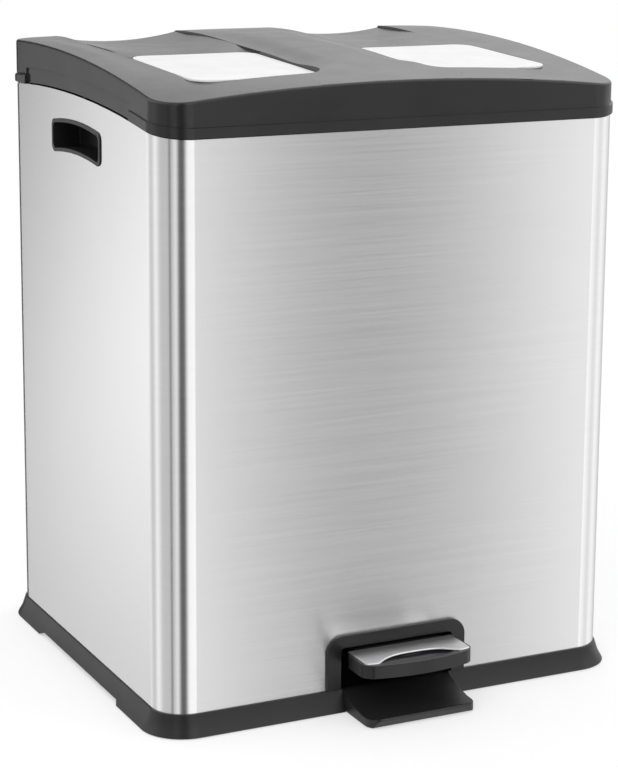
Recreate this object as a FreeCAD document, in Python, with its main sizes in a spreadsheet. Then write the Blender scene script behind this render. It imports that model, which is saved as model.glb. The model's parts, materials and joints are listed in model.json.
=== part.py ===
import FreeCAD, Part
import math
import os
import types

import Sketcher

# Double recycling bin: a steel body on a plastic base, two inner buckets and one lid that a pedal
# opens. The lengths are in millimetres. X runs to the right, Y to the back and Z up. Inside this
# file the middle of the body's footprint is X = Y = 0; each finished piece is then moved along Y so
# that the origin lies under the middle of everything, pedal and toe plate included.

DIMENSIONS = (
    ("body_width", 430, "steel body, side to side"),
    ("body_depth", 368, "steel body, front to back"),
    ("body_corner", 29, "outside radius of the body's upright corners"),
    ("steel_wall", 0.8, "sheet thickness of the body"),
    ("shell_foot", 8, "height of the sheet's lower edge"),
    ("shell_peak", 513.6, "highest point of the body's arched side edge"),
    ("shell_peak_y", 45, "where that point lies, behind the middle"),
    ("arch_radius", 1500, "radius of the arched side edge"),
    ("seam_width", 14, "folded seam down the back of the sheet"),
    ("seam_rise", 0.8, "how far the seam stands out"),
    ("foot_rise", 0.8, "how far the rubber feet stand below the base"),
    ("foot_radius", 12, "rubber foot"),
    ("foot_inset", 32, "middle of a foot from the body's sides"),
    ("foot_sink", 2, "depth of a foot's recess in the base"),
    ("plinth_top", 19, "top edge of the base"),
    ("plinth_flare", 9.1, "how far the base spreads at the floor"),
    ("plinth_lip", 1.3, "how far its top edge stands out from the steel"),
    ("plinth_wall", 5, "upstand of the base inside the steel"),
    ("plinth_floor", 7, "top of the floor in the base"),
    ("plinth_plate", 3, "thickness of that floor"),
    ("arch_low", 4.4, "height of the cut between the feet"),
    ("arch_front", 98, "front end of that cut, before the middle"),
    ("arch_back", 104, "back end of that cut, behind the middle"),
    ("arch_slope", 12, "how far its ends slope"),
    ("sheet_fit", 0.15, "clearance of pieces that hold the sheet"),
    ("bezel_width", 133.2, "frame round the pedal opening"),
    ("bezel_top", 66.7, "its top edge"),
    ("bezel_corner", 15, "its corner radius"),
    ("bezel_proud", 3, "how far it stands out from the steel"),
    ("bezel_sleeve", 3, "wall of its sleeve"),
    ("bezel_depth", 12, "how far the sleeve reaches inside"),
    ("slot_width", 107, "pedal opening"),
    ("slot_top", 55.5, "top of the pedal opening"),
    ("toe_width", 103, "toe plate under the pedal"),
    ("toe_reach", 54.5, "how far the toe plate stands out in front"),
    ("toe_corner", 12, "its corner radius"),
    ("toe_lip", 8.6, "height of its front lip"),
    ("toe_back", 17, "its height at the body"),
    ("pedal_width", 105, "pedal body"),
    ("pedal_top", 54.6, "top of the steel plate on the pedal"),
    ("pedal_height", 12.6, "pedal body with its plate"),
    ("pedal_reach", 48.5, "how far the pedal stands out in front"),
    ("pedal_corner", 9, "corner radius of the pedal"),
    ("pedal_neck", 82, "width of the pedal inside the opening"),
    ("pedal_tail", 22, "how far the pedal body reaches inside"),
    ("pedal_gap", 7.5, "between the body's front and the back of the pedal's pad"),
    ("plate_thick", 1.2, "steel plate on the pedal"),
    ("plate_width", 100, "its width"),
    ("plate_front", 3, "its front corners behind the pedal's front edge"),
    ("plate_bite", 16, "depth of the curved cut in its front edge"),
    ("strap_width", 24, "pedal lever"),
    ("strap_thick", 4, "its thickness"),
    ("strap_inset", 14, "its front end behind the pedal's front edge"),
    ("strap_end", 6, "between its back end and the push rod"),
    ("strap_bend", 8, "between the pedal's tail and its bend"),
    ("cheek_height", 12, "cheeks at its back end, which hold the rod's pin"),
    ("cheek_overlap", 14, "how far they reach along the strap"),
    ("pedal_screw", 8.8, "length of the screws in the pedal"),
    ("pedal_screw_start", 8, "first of them behind the lever's front end"),
    ("pedal_screw_pitch", 26, "between them"),
    ("pivot_y", 60, "pedal axle, before the middle"),
    ("pivot_z", 45, "pedal axle above the floor"),
    ("axle_radius", 4, "pedal axle"),
    ("barrel_radius", 8, "lever barrel round the axle"),
    ("bush_wall", 1.5, "nylon bush"),
    ("running_fit", 0.05, "radial clearance of the shafts"),
    ("bracket_thick", 3, "sheet of the brackets"),
    ("bracket_gap", 1, "side clearance between the lever and its brackets"),
    ("pivot_foot", 22, "how far the pivot bracket's foot spreads at each side"),
    ("pivot_foot_half", 16, "its half length along Y"),
    ("pivot_screw_edge", 8, "its screws from the foot's end"),
    ("pivot_screw_pitch", 18, "between the two screws of a side"),
    ("pivot_cheek", 10, "half length of its cheeks along Y"),
    ("eye_wall", 2, "its eyes outside the lever's barrel"),
    ("hinge_y", 172, "lid hinge, behind the middle"),
    ("hinge_z", 525, "lid hinge above the floor"),
    ("hinge_radius", 3, "lid hinge pin"),
    ("ear_radius", 8.5, "eyes round the lid hinge pin"),
    ("ear_thick", 6, "eye of the fixed bracket"),
    ("ear_span", 90, "fixed bracket, side to side"),
    ("knuckle_gap", 1.5, "side clearance between fixed and moving eyes"),
    ("ear_foot", 6, "lower end of the ears above the fixed plate's"),
    ("plate_screw_rise", 15, "screws of the fixed plate above its lower edge"),
    ("plate_screw_near", 12, "inner screws from the middle"),
    ("plate_screw_far", 30, "outer screws from the middle"),
    ("leaf_length", 48, "moving plate of the hinge along Y"),
    ("leaf_start", 6, "its back edge before the hinge line"),
    ("leaf_arm", 10, "length of its arms along Y"),
    ("leaf_drop", 3, "lower end of these arms above the hinge line"),
    ("leaf_screw_x", 25, "its screws from the middle"),
    ("leaf_screw_near", 28, "back pair of them before the hinge line"),
    ("leaf_screw_far", 46, "front pair of them"),
    ("crank_root", 22, "crank arm's width at the leaf"),
    ("crank_root_y", 25, "its middle there, before the hinge line"),
    ("crank_rim", 3.5, "crank arm outside its pin"),
    ("crank_flange", 14, "flange of the crank arm"),
    ("crank_screw_x", 8.5, "its screws from the arm"),
    ("crank_screw_pitch", 10, "between them"),
    ("pin_rim", 1.5, "head of the crank pin outside its shank, and the height of that head"),
    ("shaft_end", 1.5, "how far a shaft stands out of its clip"),
    ("lid_angle", 75, "how far the lid opens, in degrees"),
    ("crank_radius", 25, "lid hinge to crank pin"),
    ("rod_thick", 3, "push rod strip"),
    ("rod_width", 16, "its width"),
    ("link_radius", 3, "pins at both ends of the push rod"),
    ("slot_play", 0.6, "spare height of the slots round these pins"),
    ("slot_spare", 0.5, "spare length of these slots at each end"),
    ("rod_rim", 4.5, "rod outside its slots along Y"),
    ("rod_cap", 4, "rod above and below its slots"),
    ("cheek_gap", 1.5, "between the rod and the cheeks beside it"),
    ("guide_fit", 0.5, "clearance of the rod in its guides"),
    ("guide_low", 150, "lower rod guide"),
    ("guide_high", 400, "upper rod guide"),
    ("guide_height", 10, "height of a guide"),
    ("guide_wall", 4, "wall of a guide"),
    ("guide_flange", 7, "its flange outside the rivets"),
    ("guide_flange_rise", 3, "how far the flange stands above and below the guide"),
    ("rivet_head", 1.2, "height of a rivet's head"),
    ("collar_foot", 468, "lower edge of the collar inside the steel"),
    ("collar_wall", 3, "its wall"),
    ("collar_ledge", 9, "its inward ledge"),
    ("collar_drop", 1.2, "its top edge below the steel's"),
    ("collar_back", 500, "its top edge at the hinge"),
    ("collar_relief", 32, "front end of that low stretch before the hinge line"),
    ("cup_low", 459, "side handle, ends of the lower edge"),
    ("cup_high", 491.5, "side handle, middle of the upper edge"),
    ("cup_front", 53, "its front end, before the middle"),
    ("cup_back", 65, "its back end, behind the middle"),
    ("cup_arch", 3.5, "how much both edges rise in the middle"),
    ("cup_rim", 3.5, "width of its rim"),
    ("cup_proud", 1.2, "how far the rim stands out"),
    ("cup_depth", 24, "depth of the hand pocket"),
    ("cup_wall", 2, "wall of the hand pocket"),
    ("cup_corner", 7, "corner radius of the rim"),
    ("deck_top", 70, "floor under the buckets"),
    ("deck_thick", 2.5, "its thickness"),
    ("deck_gap", 1.5, "its edge to the steel"),
    ("deck_back", 54, "its back edge to the body's back"),
    ("deck_leg", 32, "side of its square legs"),
    ("deck_leg_back", 2, "back legs from its back edge"),
    ("bucket_top", 498, "rim of the buckets"),
    ("bucket_seat", 0.4, "play under the buckets"),
    ("bucket_wall", 2, "wall of the buckets"),
    ("bucket_taper", 8, "how much each side draws in towards the bottom"),
    ("bucket_lip", 3, "width of the bucket's rim flange"),
    ("bucket_lip_high", 4, "its height"),
    ("bucket_grip", 12, "its width at the front and the back"),
    ("bucket_corner", 22, "corner radius of the buckets"),
    ("bucket_side", 29, "between the rim flange and the body's side"),
    ("bucket_middle", 4, "between the two rim flanges"),
    ("bucket_front", 15, "between the rim flange and the body's front"),
    ("bucket_back", 58, "between the rim flange and the body's back"),
    ("lid_gap", 1, "between the lid and the steel edge"),
    ("band_height", 8.5, "band along the lid's lower edge"),
    ("band_proud", 2, "how far it stands out from the steel"),
    ("skirt_proud", 0.3, "how far the lid's skirt stands out"),
    ("lid_wall", 2.5, "wall of the lid"),
    ("lid_back_foot", 511, "lower edge of the lid behind the hinge"),
    ("lid_back_start", 22, "front end of that edge before the hinge line"),
    ("lid_side_peak", 550, "highest point of the lid's side edge"),
    ("lid_side_peak_y", 100, "where that point lies, behind the middle"),
    ("lid_side_radius", 1500, "radius of the lid's side edge"),
    ("lid_mid_peak", 553.2, "highest point of the lid's middle line"),
    ("lid_mid_peak_y", 80, "where that point lies, behind the middle"),
    ("lid_mid_radius", 2044, "radius of the lid's middle line"),
    ("notch_high", 533, "top of the hinge notch in the lid's back"),
    ("notch_gap", 3, "notch beside the hinge's ears"),
    ("notch_depth", 6, "depth of the notch in the lid's back wall"),
    ("grip_front", 120, "front end of the finger groove, before the middle"),
    ("grip_back", 133, "back end of the finger groove, behind the middle"),
    ("grip_height", 13.5, "height of the finger groove"),
    ("grip_depth", 1.5, "how far it is cut into the skirt"),
    ("scoop_inner", 49, "inner side of a scoop in the lid, from the middle"),
    ("scoop_border", 47, "between its outer side and the body's side"),
    ("scoop_front", 141, "its front end, before the middle"),
    ("scoop_corner", 18, "its corner radius"),
    ("scoop_rise", 0.3, "bow of its floor at the front"),
    ("scoop_bow", 6.4, "bow of its floor at the back"),
    ("scoop_tilt", 2.6, "how much higher its inner side is at the back"),
    ("scoop_wall", 2, "wall of the lid under a scoop's bed"),
    ("scoop_front_z", 537.5, "its floor at the front"),
    ("scoop_step_z", 544.6, "its floor behind the inlay"),
    ("scoop_back_z", 542.4, "its floor at the back"),
    ("inlay_back", 8, "back end of the white inlay, behind the middle"),
    ("inlay_thick", 2, "white inlay"),
    ("inlay_gap", 0.7, "gap round the inlay"),
    ("liner_foot", 516, "underside of the lid's liner"),
    ("liner_thick", 2.5, "its thickness"),
    ("liner_rim", 5, "height of its rim"),
    ("liner_inset", 5, "its edge to the body's side"),
    ("liner_back", 54, "its back edge to the body's back"),
    ("post_radius", 5, "screw posts under the lid"),
    ("post_front", 12, "front middle post before the scoops"),
    ("post_back", 90, "back middle post behind the middle"),
    ("post_side_front", 110, "front side posts before the middle"),
    ("post_side_back", 100, "back side posts behind the middle"),
    ("screw_radius", 1.9, "screw shank"),
    ("screw_head", 3.6, "screw head"),
    ("screw_length", 12, "screw shank's length"),
    ("head_height", 2.2, "screw head's height"),
    ("screw_slot", 1.2, "slot in a screw head"),
    ("clip_thick", 1, "retaining clip"),
    ("clip_wall", 2.6, "its width round the shaft"),
    ("buffer_radius", 4, "rubber buffer under the lid"),
    ("buffer_high", 5, "its height"),
    ("buffer_inset", 60, "its middle from the body's side"),
    ("buffer_edge", 1, "stop under it round its edge"),
    ("cover_wall", 2, "hinge cover"),
    ("cover_gap", 1, "between the hinge cover and the eyes"),
    ("cover_lip", 5, "upper end of the cover above the hinge line"),
    ("cover_step", 11, "its flat foot below the hinge line"),
)
doc = FreeCAD.newDocument("double_recycling_bin")
sheet = doc.addObject("Spreadsheet::Sheet", "sizes")


class Size:
    """A length as an expression on the sheet, with the number that it gives now."""

    def __init__(self, text, value):
        self.text = text
        self.value = value

    def __add__(self, other):
        other = as_size(other)
        return Size(f"({self.text} + {other.text})", self.value + other.value)

    def __sub__(self, other):
        other = as_size(other)
        return Size(f"({self.text} - {other.text})", self.value - other.value)

    def __mul__(self, other):
        other = as_size(other)
        return Size(f"({self.text} * {other.text})", self.value * other.value)

    def __truediv__(self, other):
        other = as_size(other)
        return Size(f"({self.text} / {other.text})", self.value / other.value)

    def __radd__(self, other):
        return as_size(other) + self

    def __rsub__(self, other):
        return as_size(other) - self

    def __rmul__(self, other):
        return as_size(other) * self

    def __neg__(self):
        return as_size(0) - self


def as_size(item):
    if isinstance(item, Size):
        return item
    return Size(str(float(item)), float(item))


def root(item):
    return Size(f"sqrt({item.text})", math.sqrt(item.value))


def sine(item):
    return Size(f"sin({item.text})", math.sin(math.radians(item.value)))


def cosine(item):
    return Size(f"cos({item.text})", math.cos(math.radians(item.value)))


def fill_sheet():
    """Writes the driving dimensions and returns them by name."""
    found = {}
    for row, (alias, value, note) in enumerate(DIMENSIONS, start=1):
        sheet.set(f"A{row}", alias)
        sheet.set(f"B{row}", str(value))
        sheet.set(f"C{row}", note)
        sheet.setAlias(f"B{row}", alias)
        found[alias] = Size(f"sizes.{alias}", float(value))
    doc.recompute()
    return found


def bind(item, name, size):
    item.setExpression(name, as_size(size).text)


def block(x0, x1, y0, y1):
    """A rectangle as a loop of corners."""
    return [(x0, y0), (x1, y0), (x1, y1), (x0, y1)]


def rounded(x0, x1, y0, y1, radius):
    """A rectangle with round corners. An arc leaves a corner that also names its centre."""
    return [
        (x0 + radius, y0), (x1 - radius, y0, x1 - radius, y0 + radius),
        (x1, y0 + radius), (x1, y1 - radius, x1 - radius, y1 - radius),
        (x1 - radius, y1), (x0 + radius, y1, x0 + radius, y1 - radius),
        (x0, y1 - radius), (x0, y0 + radius, x0 + radius, y0 + radius),
    ]


def disc(x, y, radius):
    return ("disc", x, y, radius)


def point(x, y):
    return FreeCAD.Vector(as_size(x).value, as_size(y).value, 0)


def draw_disc(sketch, x, y, radius, pins):
    circle = Part.Circle(point(x, y), FreeCAD.Vector(0, 0, 1), as_size(radius).value)
    edge = sketch.addGeometry(circle, False)
    pins.append((Sketcher.Constraint("Radius", edge, as_size(radius).value), radius))
    pins.append((Sketcher.Constraint("DistanceX", edge, 3, as_size(x).value), x))
    pins.append((Sketcher.Constraint("DistanceY", edge, 3, as_size(y).value), y))


def draw_loop(sketch, corners, pins):
    """Draws a closed loop, and pins its corners and the centres of its arcs to the sheet."""
    ends = []
    for index, corner in enumerate(corners):
        start = point(*corner[:2])
        finish = point(*corners[(index + 1) % len(corners)][:2])
        if len(corner) == 2:
            edge = sketch.addGeometry(Part.LineSegment(start, finish), False)
            ends.append((edge, 1, 2))
        else:
            middle = point(*corner[2:])
            out, back = start - middle, finish - middle
            left = out.x * back.y - out.y * back.x >= 0
            first, last = (out, back) if left else (back, out)
            circle = Part.Circle(middle, FreeCAD.Vector(0, 0, 1), out.Length)
            sweep = (math.atan2(first.y, first.x), math.atan2(last.y, last.x))
            edge = sketch.addGeometry(Part.ArcOfCircle(circle, *sweep), False)
            ends.append((edge, 1, 2) if left else (edge, 2, 1))
            flat = abs(start.x - finish.x) > abs(start.y - finish.y)
            kind, value = ("DistanceY", corner[3]) if flat else ("DistanceX", corner[2])
            pins.append((Sketcher.Constraint(kind, edge, 3, as_size(value).value), value))
    for index, (edge, first, last) in enumerate(ends):
        following = ends[(index + 1) % len(ends)]
        pins.append((Sketcher.Constraint("Coincident", edge, last, following[0], following[1]), None))
        x, y = corners[index][:2]
        pins.append((Sketcher.Constraint("DistanceX", edge, first, as_size(x).value), x))
        pins.append((Sketcher.Constraint("DistanceY", edge, first, as_size(y).value), y))


def draw(sketch, loops):
    pins = []
    for loop in loops:
        if loop[0] == "disc":
            draw_disc(sketch, *loop[1:], pins)
        else:
            draw_loop(sketch, loop, pins)
    first = sketch.ConstraintCount
    sketch.addConstraint([constraint for constraint, _ in pins])
    for index, (_, size) in enumerate(pins, start=first):
        if size is not None:
            bind(sketch, f"Constraints[{index}]", size)


class Piece:
    """A sub-part made as a PartDesign body, from loops on a plane and a span along its normal.

    The planes are XY, seen from above, XZ, seen from the front, and YZ, seen from the right.
    """

    def __init__(self, label):
        self.body = doc.addObject("PartDesign::Body", label)
        self.body.AllowCompound = True

    def sketch(self, plane, offset, loops):
        sketch = self.body.newObject("Sketcher::SketchObject", "outline")
        origin = self.body.Origin.OriginFeatures
        support = next(item for item in origin if item.Role == f"{plane}_Plane")
        sketch.AttachmentSupport = [(support, "")]
        sketch.MapMode = "FlatFace"
        bind(sketch, "AttachmentOffset.Base.z", offset)
        draw(sketch, loops)
        return sketch

    def add(self, plane, low, high, *loops):
        """Adds what the loops enclose between low and high."""
        start = -as_size(high) if plane == "XZ" else low
        sketch = self.sketch(plane, start, loops)
        pad = self.body.newObject("PartDesign::Pad", "pad")
        pad.Profile = sketch
        bind(pad, "Length", high - low)
        return self

    def cut(self, plane, low, high, *loops):
        """Removes what the loops enclose between low and high, and checks that it did."""
        doc.recompute()
        before = self.body.Shape.Volume
        start = -as_size(low) if plane == "XZ" else high
        sketch = self.sketch(plane, start, loops)
        pocket = self.body.newObject("PartDesign::Pocket", "pocket")
        pocket.Profile = sketch
        bind(pocket, "Length", high - low)
        doc.recompute()
        if self.body.Shape.Volume > before - 1e-6:
            raise RuntimeError(f"a pocket of {self.body.Label} cuts nothing")
        return self

    def loft(self, sections, hollow=False):
        """Adds, or with hollow removes, the ruled body through loops at heights."""
        sketches = [self.sketch("XY", height, [loop]) for height, loop in sections]
        kind = "Subtractive" if hollow else "Additive"
        loft = self.body.newObject(f"PartDesign::{kind}Loft", "loft")
        loft.Profile = sketches[0]
        loft.Sections = sketches[1:]
        loft.Ruled = True
        return self


def prism(low, high, *loops):
    """What the loops enclose, seen from above, between two heights, as an extruded sketch."""
    sketch = doc.addObject("Sketcher::SketchObject", "outline")
    bind(sketch, "Placement.Base.z", low)
    draw(sketch, loops)
    made = doc.addObject("Part::Extrusion", "prism")
    made.Base = sketch
    made.DirMode = "Normal"
    made.Solid = True
    bind(made, "LengthFwd", high - low)
    return made


def loft(sections, ruled):
    """A solid through loops in upright planes across the body; a section is (Y, loop)."""
    sketches = []
    for y, loop in sections:
        sketch = doc.addObject("Sketcher::SketchObject", "section")
        sketch.Placement.Rotation = FreeCAD.Rotation(FreeCAD.Vector(1, 0, 0), 90)
        bind(sketch, "Placement.Base.y", y)
        draw(sketch, [loop])
        sketches.append(sketch)
    made = doc.addObject("Part::Loft", "loft")
    made.Sections = sketches
    made.Solid = True
    made.Ruled = ruled
    return made


def across(radius, half_length, y, z):
    """A cylinder that lies along X."""
    made = doc.addObject("Part::Cylinder", "cylinder")
    made.Placement.Rotation = FreeCAD.Rotation(FreeCAD.Vector(0, 1, 0), 90)
    bind(made, "Radius", radius)
    bind(made, "Height", half_length * 2)
    bind(made, "Placement.Base.x", -half_length)
    bind(made, "Placement.Base.y", y)
    bind(made, "Placement.Base.z", z)
    return made


def common(first, second):
    made = doc.addObject("Part::Common", "common")
    made.Base = first
    made.Tool = second
    return made


def less(first, second):
    made = doc.addObject("Part::Cut", "cut")
    made.Base = first
    made.Tool = second
    return made


def joined(*items):
    made = doc.addObject("Part::MultiFuse", "fuse")
    made.Shapes = list(items)
    return made


def mirrored(item):
    """The same on the other side of the middle plane."""
    made = doc.addObject("Part::Mirroring", "mirror")
    made.Source = item
    made.Normal = FreeCAD.Vector(1, 0, 0)
    return made


s = types.SimpleNamespace(**fill_sheet())
half_x = s.body_width / 2
half_y = s.body_depth / 2
scoop_outer = half_x - s.scoop_border
buffer_x = half_x - s.buffer_inset
slack = 5
nick = 1
inside = -s.steel_wall - s.sheet_fit


def plan(grow):
    """The body's outline seen from above, grown all round."""
    grow = as_size(grow)
    return rounded(-half_x - grow, half_x + grow, -half_y - grow, half_y + grow, s.body_corner + grow)


def side_span(side, near, far):
    """A span along X: as given on the right, mirrored on the left."""
    return (near, far) if side > 0 else (-far, -near)


def arch(grow):
    """The circle of the body's arched side edge."""
    return disc(s.shell_peak_y, s.shell_peak - s.arch_radius, s.arch_radius + grow)


def around_arch():
    reach = s.arch_radius * 1.2
    centre = s.shell_peak - s.arch_radius
    return block(s.shell_peak_y - reach, s.shell_peak_y + reach, centre - reach, centre + reach)


rod_y = s.hinge_y - s.crank_radius * (1 + cosine(s.lid_angle / 2)) / 2
rod_travel = s.crank_radius * 2 * sine(s.lid_angle / 2)
crank_y = s.hinge_y - s.crank_radius * cosine(s.lid_angle / 2)
crank_z = s.hinge_z - rod_travel / 2
link_z = s.pivot_z - rod_travel / 2
lever_arm = rod_y + s.pivot_y
slot_half = s.slot_width / 2
sleeve_half = slot_half + s.bezel_sleeve
sleeve_top = s.slot_top + s.bezel_sleeve
pedal_foot = s.pedal_top - s.pedal_height
pedal_front = -half_y - s.pedal_reach
pedal_back = -half_y + s.pedal_tail
pedal_step = -half_y - s.pedal_gap
strap_front = pedal_front + s.strap_inset
guide_levels = (s.guide_low, s.guide_high)
rivet_x = s.rod_width
ear_out = s.ear_span / 2
ear_in = ear_out - s.ear_thick
knuckle_out = ear_in - s.knuckle_gap
knuckle_in = knuckle_out - s.ear_thick
plate_y = half_y + inside - s.collar_wall
bracket_x = s.strap_width / 2 + s.bracket_gap
leaf_foot = s.notch_high
leaf_top = leaf_foot + s.bracket_thick
liner_top = s.liner_foot + s.liner_thick

foot_spots = [(x, y) for x in (-half_x + s.foot_inset, half_x - s.foot_inset)
              for y in (-half_y + s.foot_inset, half_y - s.foot_inset)]
pivot_out = bracket_x + s.bracket_thick
pivot_screw_x = pivot_out + s.pivot_foot - s.pivot_screw_edge
pivot_spots = [(x, y - s.pivot_y) for x in (-pivot_screw_x, pivot_screw_x)
               for y in (-s.pivot_screw_pitch / 2, s.pivot_screw_pitch / 2)]
pedal_spots = [(0, strap_front + s.pedal_screw_start),
               (0, strap_front + s.pedal_screw_start + s.pedal_screw_pitch)]
fixed_plate_foot = s.collar_foot + s.collar_wall
bracket_spots = [(x, fixed_plate_foot + s.plate_screw_rise)
                 for x in (-s.plate_screw_far, -s.plate_screw_near, s.plate_screw_near, s.plate_screw_far)]
leaf_spots = [(x, s.hinge_y - y) for x in (-s.leaf_screw_x, s.leaf_screw_x)
              for y in (s.leaf_screw_near, s.leaf_screw_far)]
crank_x = s.rod_thick / 2 + s.cheek_gap
crank_spots = [(crank_x + s.crank_screw_x, s.hinge_y - s.crank_root_y + y)
               for y in (s.crank_screw_pitch / 2, -s.crank_screw_pitch / 2)]
border_x = half_x - s.scoop_border / 2
liner_spots = [(0, -s.scoop_front - s.post_front), (0, s.post_back)]
liner_spots += [(x, y) for x in (-border_x, border_x) for y in (-s.post_side_front, s.post_side_back)]
buffer_y = -half_y - inside + s.collar_wall + s.buffer_radius
rivet_spots = [(x, z) for x in (-rivet_x, rivet_x) for z in guide_levels]


def discs(spots, radius):
    return [disc(x, y, radius) for x, y in spots]


def cup_outline(inset):
    """The side handle seen from the side: round corners and two long edges that bow upwards."""
    front = -s.cup_front + inset
    back = s.cup_back - inset
    low = s.cup_low + inset
    high = s.cup_high - s.cup_arch - inset
    radius = s.cup_corner - inset * 0.6
    chord = (back - front) / 2 - radius
    bow = (chord * chord + s.cup_arch * s.cup_arch) / (s.cup_arch * 2)
    middle = (front + back) / 2
    drop = s.cup_arch - bow
    return [
        (front + radius, low, middle, low + drop), (back - radius, low, back - radius, low + radius),
        (back, low + radius), (back, high - radius, back - radius, high - radius),
        (back - radius, high, middle, high + drop), (front + radius, high, front + radius, high - radius),
        (front, high - radius), (front, low + radius, front + radius, low + radius),
    ]


def outer_shell():
    """The steel wrap: one folded sheet, open above and below, with a seam at the back."""
    shell = Piece("outer_shell")
    shell.add("XY", s.shell_foot, s.shell_peak + slack, plan(0), plan(-s.steel_wall))
    seam = block(-s.seam_width / 2, s.seam_width / 2, half_y - s.steel_wall / 2, half_y + s.seam_rise)
    shell.add("XY", s.plinth_top + 1, s.collar_foot, seam)
    shell.cut("YZ", -half_x - slack, half_x + slack, arch(0), around_arch())
    opening_x = sleeve_half + s.sheet_fit
    opening = block(-opening_x, opening_x, s.shell_foot - 1, sleeve_top + s.sheet_fit)
    shell.cut("XZ", -half_y - slack, -half_y + slack, opening)
    hand_hole = cup_outline(s.cup_rim - s.cup_wall - s.sheet_fit)
    shell.cut("YZ", -half_x - slack, half_x + slack, hand_hole)
    shell.cut("XZ", half_y - slack, half_y + slack, *discs(rivet_spots, s.screw_radius))
    return shell.body


def base_plinth():
    """The plastic base: a flared skirt, a groove for the sheet, a floor and four corner feet."""
    plinth = Piece("base_plinth")
    middle = (s.foot_rise * 0.55 + s.plinth_top * 0.45, plan(s.plinth_lip * 0.58 + s.plinth_flare * 0.42))
    plinth.loft([(s.foot_rise, plan(s.plinth_flare)), middle, (s.plinth_top, plan(s.plinth_lip))])
    plinth.cut("XY", s.shell_foot, s.plinth_top + 1, plan(s.sheet_fit), plan(inside))
    plinth.cut("XY", s.plinth_floor, s.plinth_top + 1, plan(inside - s.plinth_wall))
    rim = s.foot_inset + s.foot_radius + 6
    hollow = rounded(-half_x + rim, half_x - rim, -half_y + rim, half_y - rim, as_size(8))
    plinth.cut("XY", s.foot_rise - 1, s.plinth_floor - s.plinth_plate, hollow)
    ends = [
        (-s.arch_front, s.foot_rise - 1), (s.arch_back, s.foot_rise - 1),
        (s.arch_back - s.arch_slope, s.arch_low), (-s.arch_front + s.arch_slope / 2, s.arch_low),
    ]
    outside = half_x + s.plinth_flare + 1
    for side in (-1, 1):
        plinth.cut("YZ", *side_span(side, half_x - s.foot_inset, outside), ends)
    recess = discs(foot_spots, s.foot_radius + s.sheet_fit)
    plinth.cut("XY", s.foot_rise - 1, s.foot_rise + s.foot_sink, *recess)
    toe_x = s.toe_width / 2 + s.sheet_fit
    front = block(-toe_x, toe_x, -half_y - s.plinth_flare - 1, -half_y - inside + s.plinth_wall)
    plinth.cut("XY", s.foot_rise - 1, s.plinth_top + 1, front)
    plinth.cut("XY", s.foot_rise, s.plinth_floor + 1, *discs(pivot_spots, s.screw_radius))
    return plinth.body


def rubber_feet():
    feet = Piece("rubber_feet")
    feet.add("XY", 0, s.foot_rise + s.foot_sink, *discs(foot_spots, s.foot_radius))
    return feet.body


def arched_opening(half_width, low, high, radius):
    """An upright outline, square below and round at its two upper corners."""
    return [
        (-half_width, low), (half_width, low),
        (half_width, high - radius, half_width - radius, high - radius), (half_width - radius, high),
        (-half_width + radius, high, -half_width + radius, high - radius), (-half_width, high - radius),
    ]


def pedal_bezel():
    """The frame round the pedal opening, with a sleeve through the sheet."""
    bezel = Piece("pedal_bezel")
    face = arched_opening(s.bezel_width / 2, s.plinth_top, s.bezel_top, s.bezel_corner)
    bezel.add("XZ", -half_y - s.bezel_proud, -half_y, face)
    sleeve = arched_opening(sleeve_half, s.plinth_top, sleeve_top, s.bezel_sleeve * 2)
    bezel.add("XZ", -half_y - s.bezel_proud / 2, -half_y + s.bezel_depth, sleeve)
    slot = arched_opening(slot_half, s.plinth_top - 1, s.slot_top, s.bezel_sleeve)
    bezel.cut("XZ", -half_y - s.bezel_proud - 1, -half_y + s.bezel_depth + 1, slot)
    return bezel.body


def toe_plate():
    """The dished plate in front of the base, under the pedal."""
    plate = Piece("toe_plate")
    back = -half_y - inside + s.plinth_wall
    front = -half_y - s.toe_reach
    fall = s.toe_back - s.toe_lip
    profile = [
        (front + 3.5, s.foot_rise), (back, s.foot_rise), (back, s.toe_back),
        (-half_y - s.bezel_proud, s.toe_back), (front + s.toe_reach * 0.66, s.toe_lip + fall * 0.34),
        (front + s.toe_reach * 0.34, s.toe_lip - 0.3), (front + 5, s.toe_lip - 0.7),
        (front + 1.5, s.toe_lip), (front, s.toe_lip - 1.2),
    ]
    plate.add("YZ", -s.toe_width / 2, s.toe_width / 2, profile)
    shape = rounded(-s.toe_width / 2, s.toe_width / 2, front, back + s.toe_corner + 1, s.toe_corner)
    around = block(-s.toe_width, s.toe_width, front - slack, back + s.toe_corner + slack)
    plate.cut("XY", s.foot_rise - 1, s.toe_back + 1, shape, around)
    return plate.body


def pedal_body():
    """The moulded pedal: a pad in front of the body and a neck through the opening."""
    pedal = Piece("pedal_body")
    high = s.pedal_top - s.plate_thick
    half = s.pedal_width / 2
    pedal.add("XY", pedal_foot, high, rounded(-half, half, pedal_front, pedal_step, s.pedal_corner))
    neck = block(-s.pedal_neck / 2, s.pedal_neck / 2, pedal_step - s.pedal_corner, pedal_back)
    pedal.add("XY", pedal_foot, high, neck)
    channel = block(-s.strap_width / 2, s.strap_width / 2, strap_front, pedal_back + 1)
    pedal.cut("XY", pedal_foot - 1, pedal_foot + s.strap_thick, channel)
    pedal.cut("XY", pedal_foot, pedal_foot + s.pedal_screw, *discs(pedal_spots, s.screw_radius))
    return pedal.body


def pedal_plate():
    """The steel plate on the pedal, with a curved bite out of its front edge."""
    plate = Piece("pedal_plate")
    half = s.plate_width / 2
    front = pedal_front + s.plate_front
    bow = (half * half + s.plate_bite * s.plate_bite) / (s.plate_bite * 2)
    outline = [
        (-half, front, 0, front + s.plate_bite - bow), (half, front),
        (half, pedal_step), (-half, pedal_step),
    ]
    plate.add("XY", s.pedal_top - s.plate_thick, s.pedal_top, outline)
    return plate.body


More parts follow.
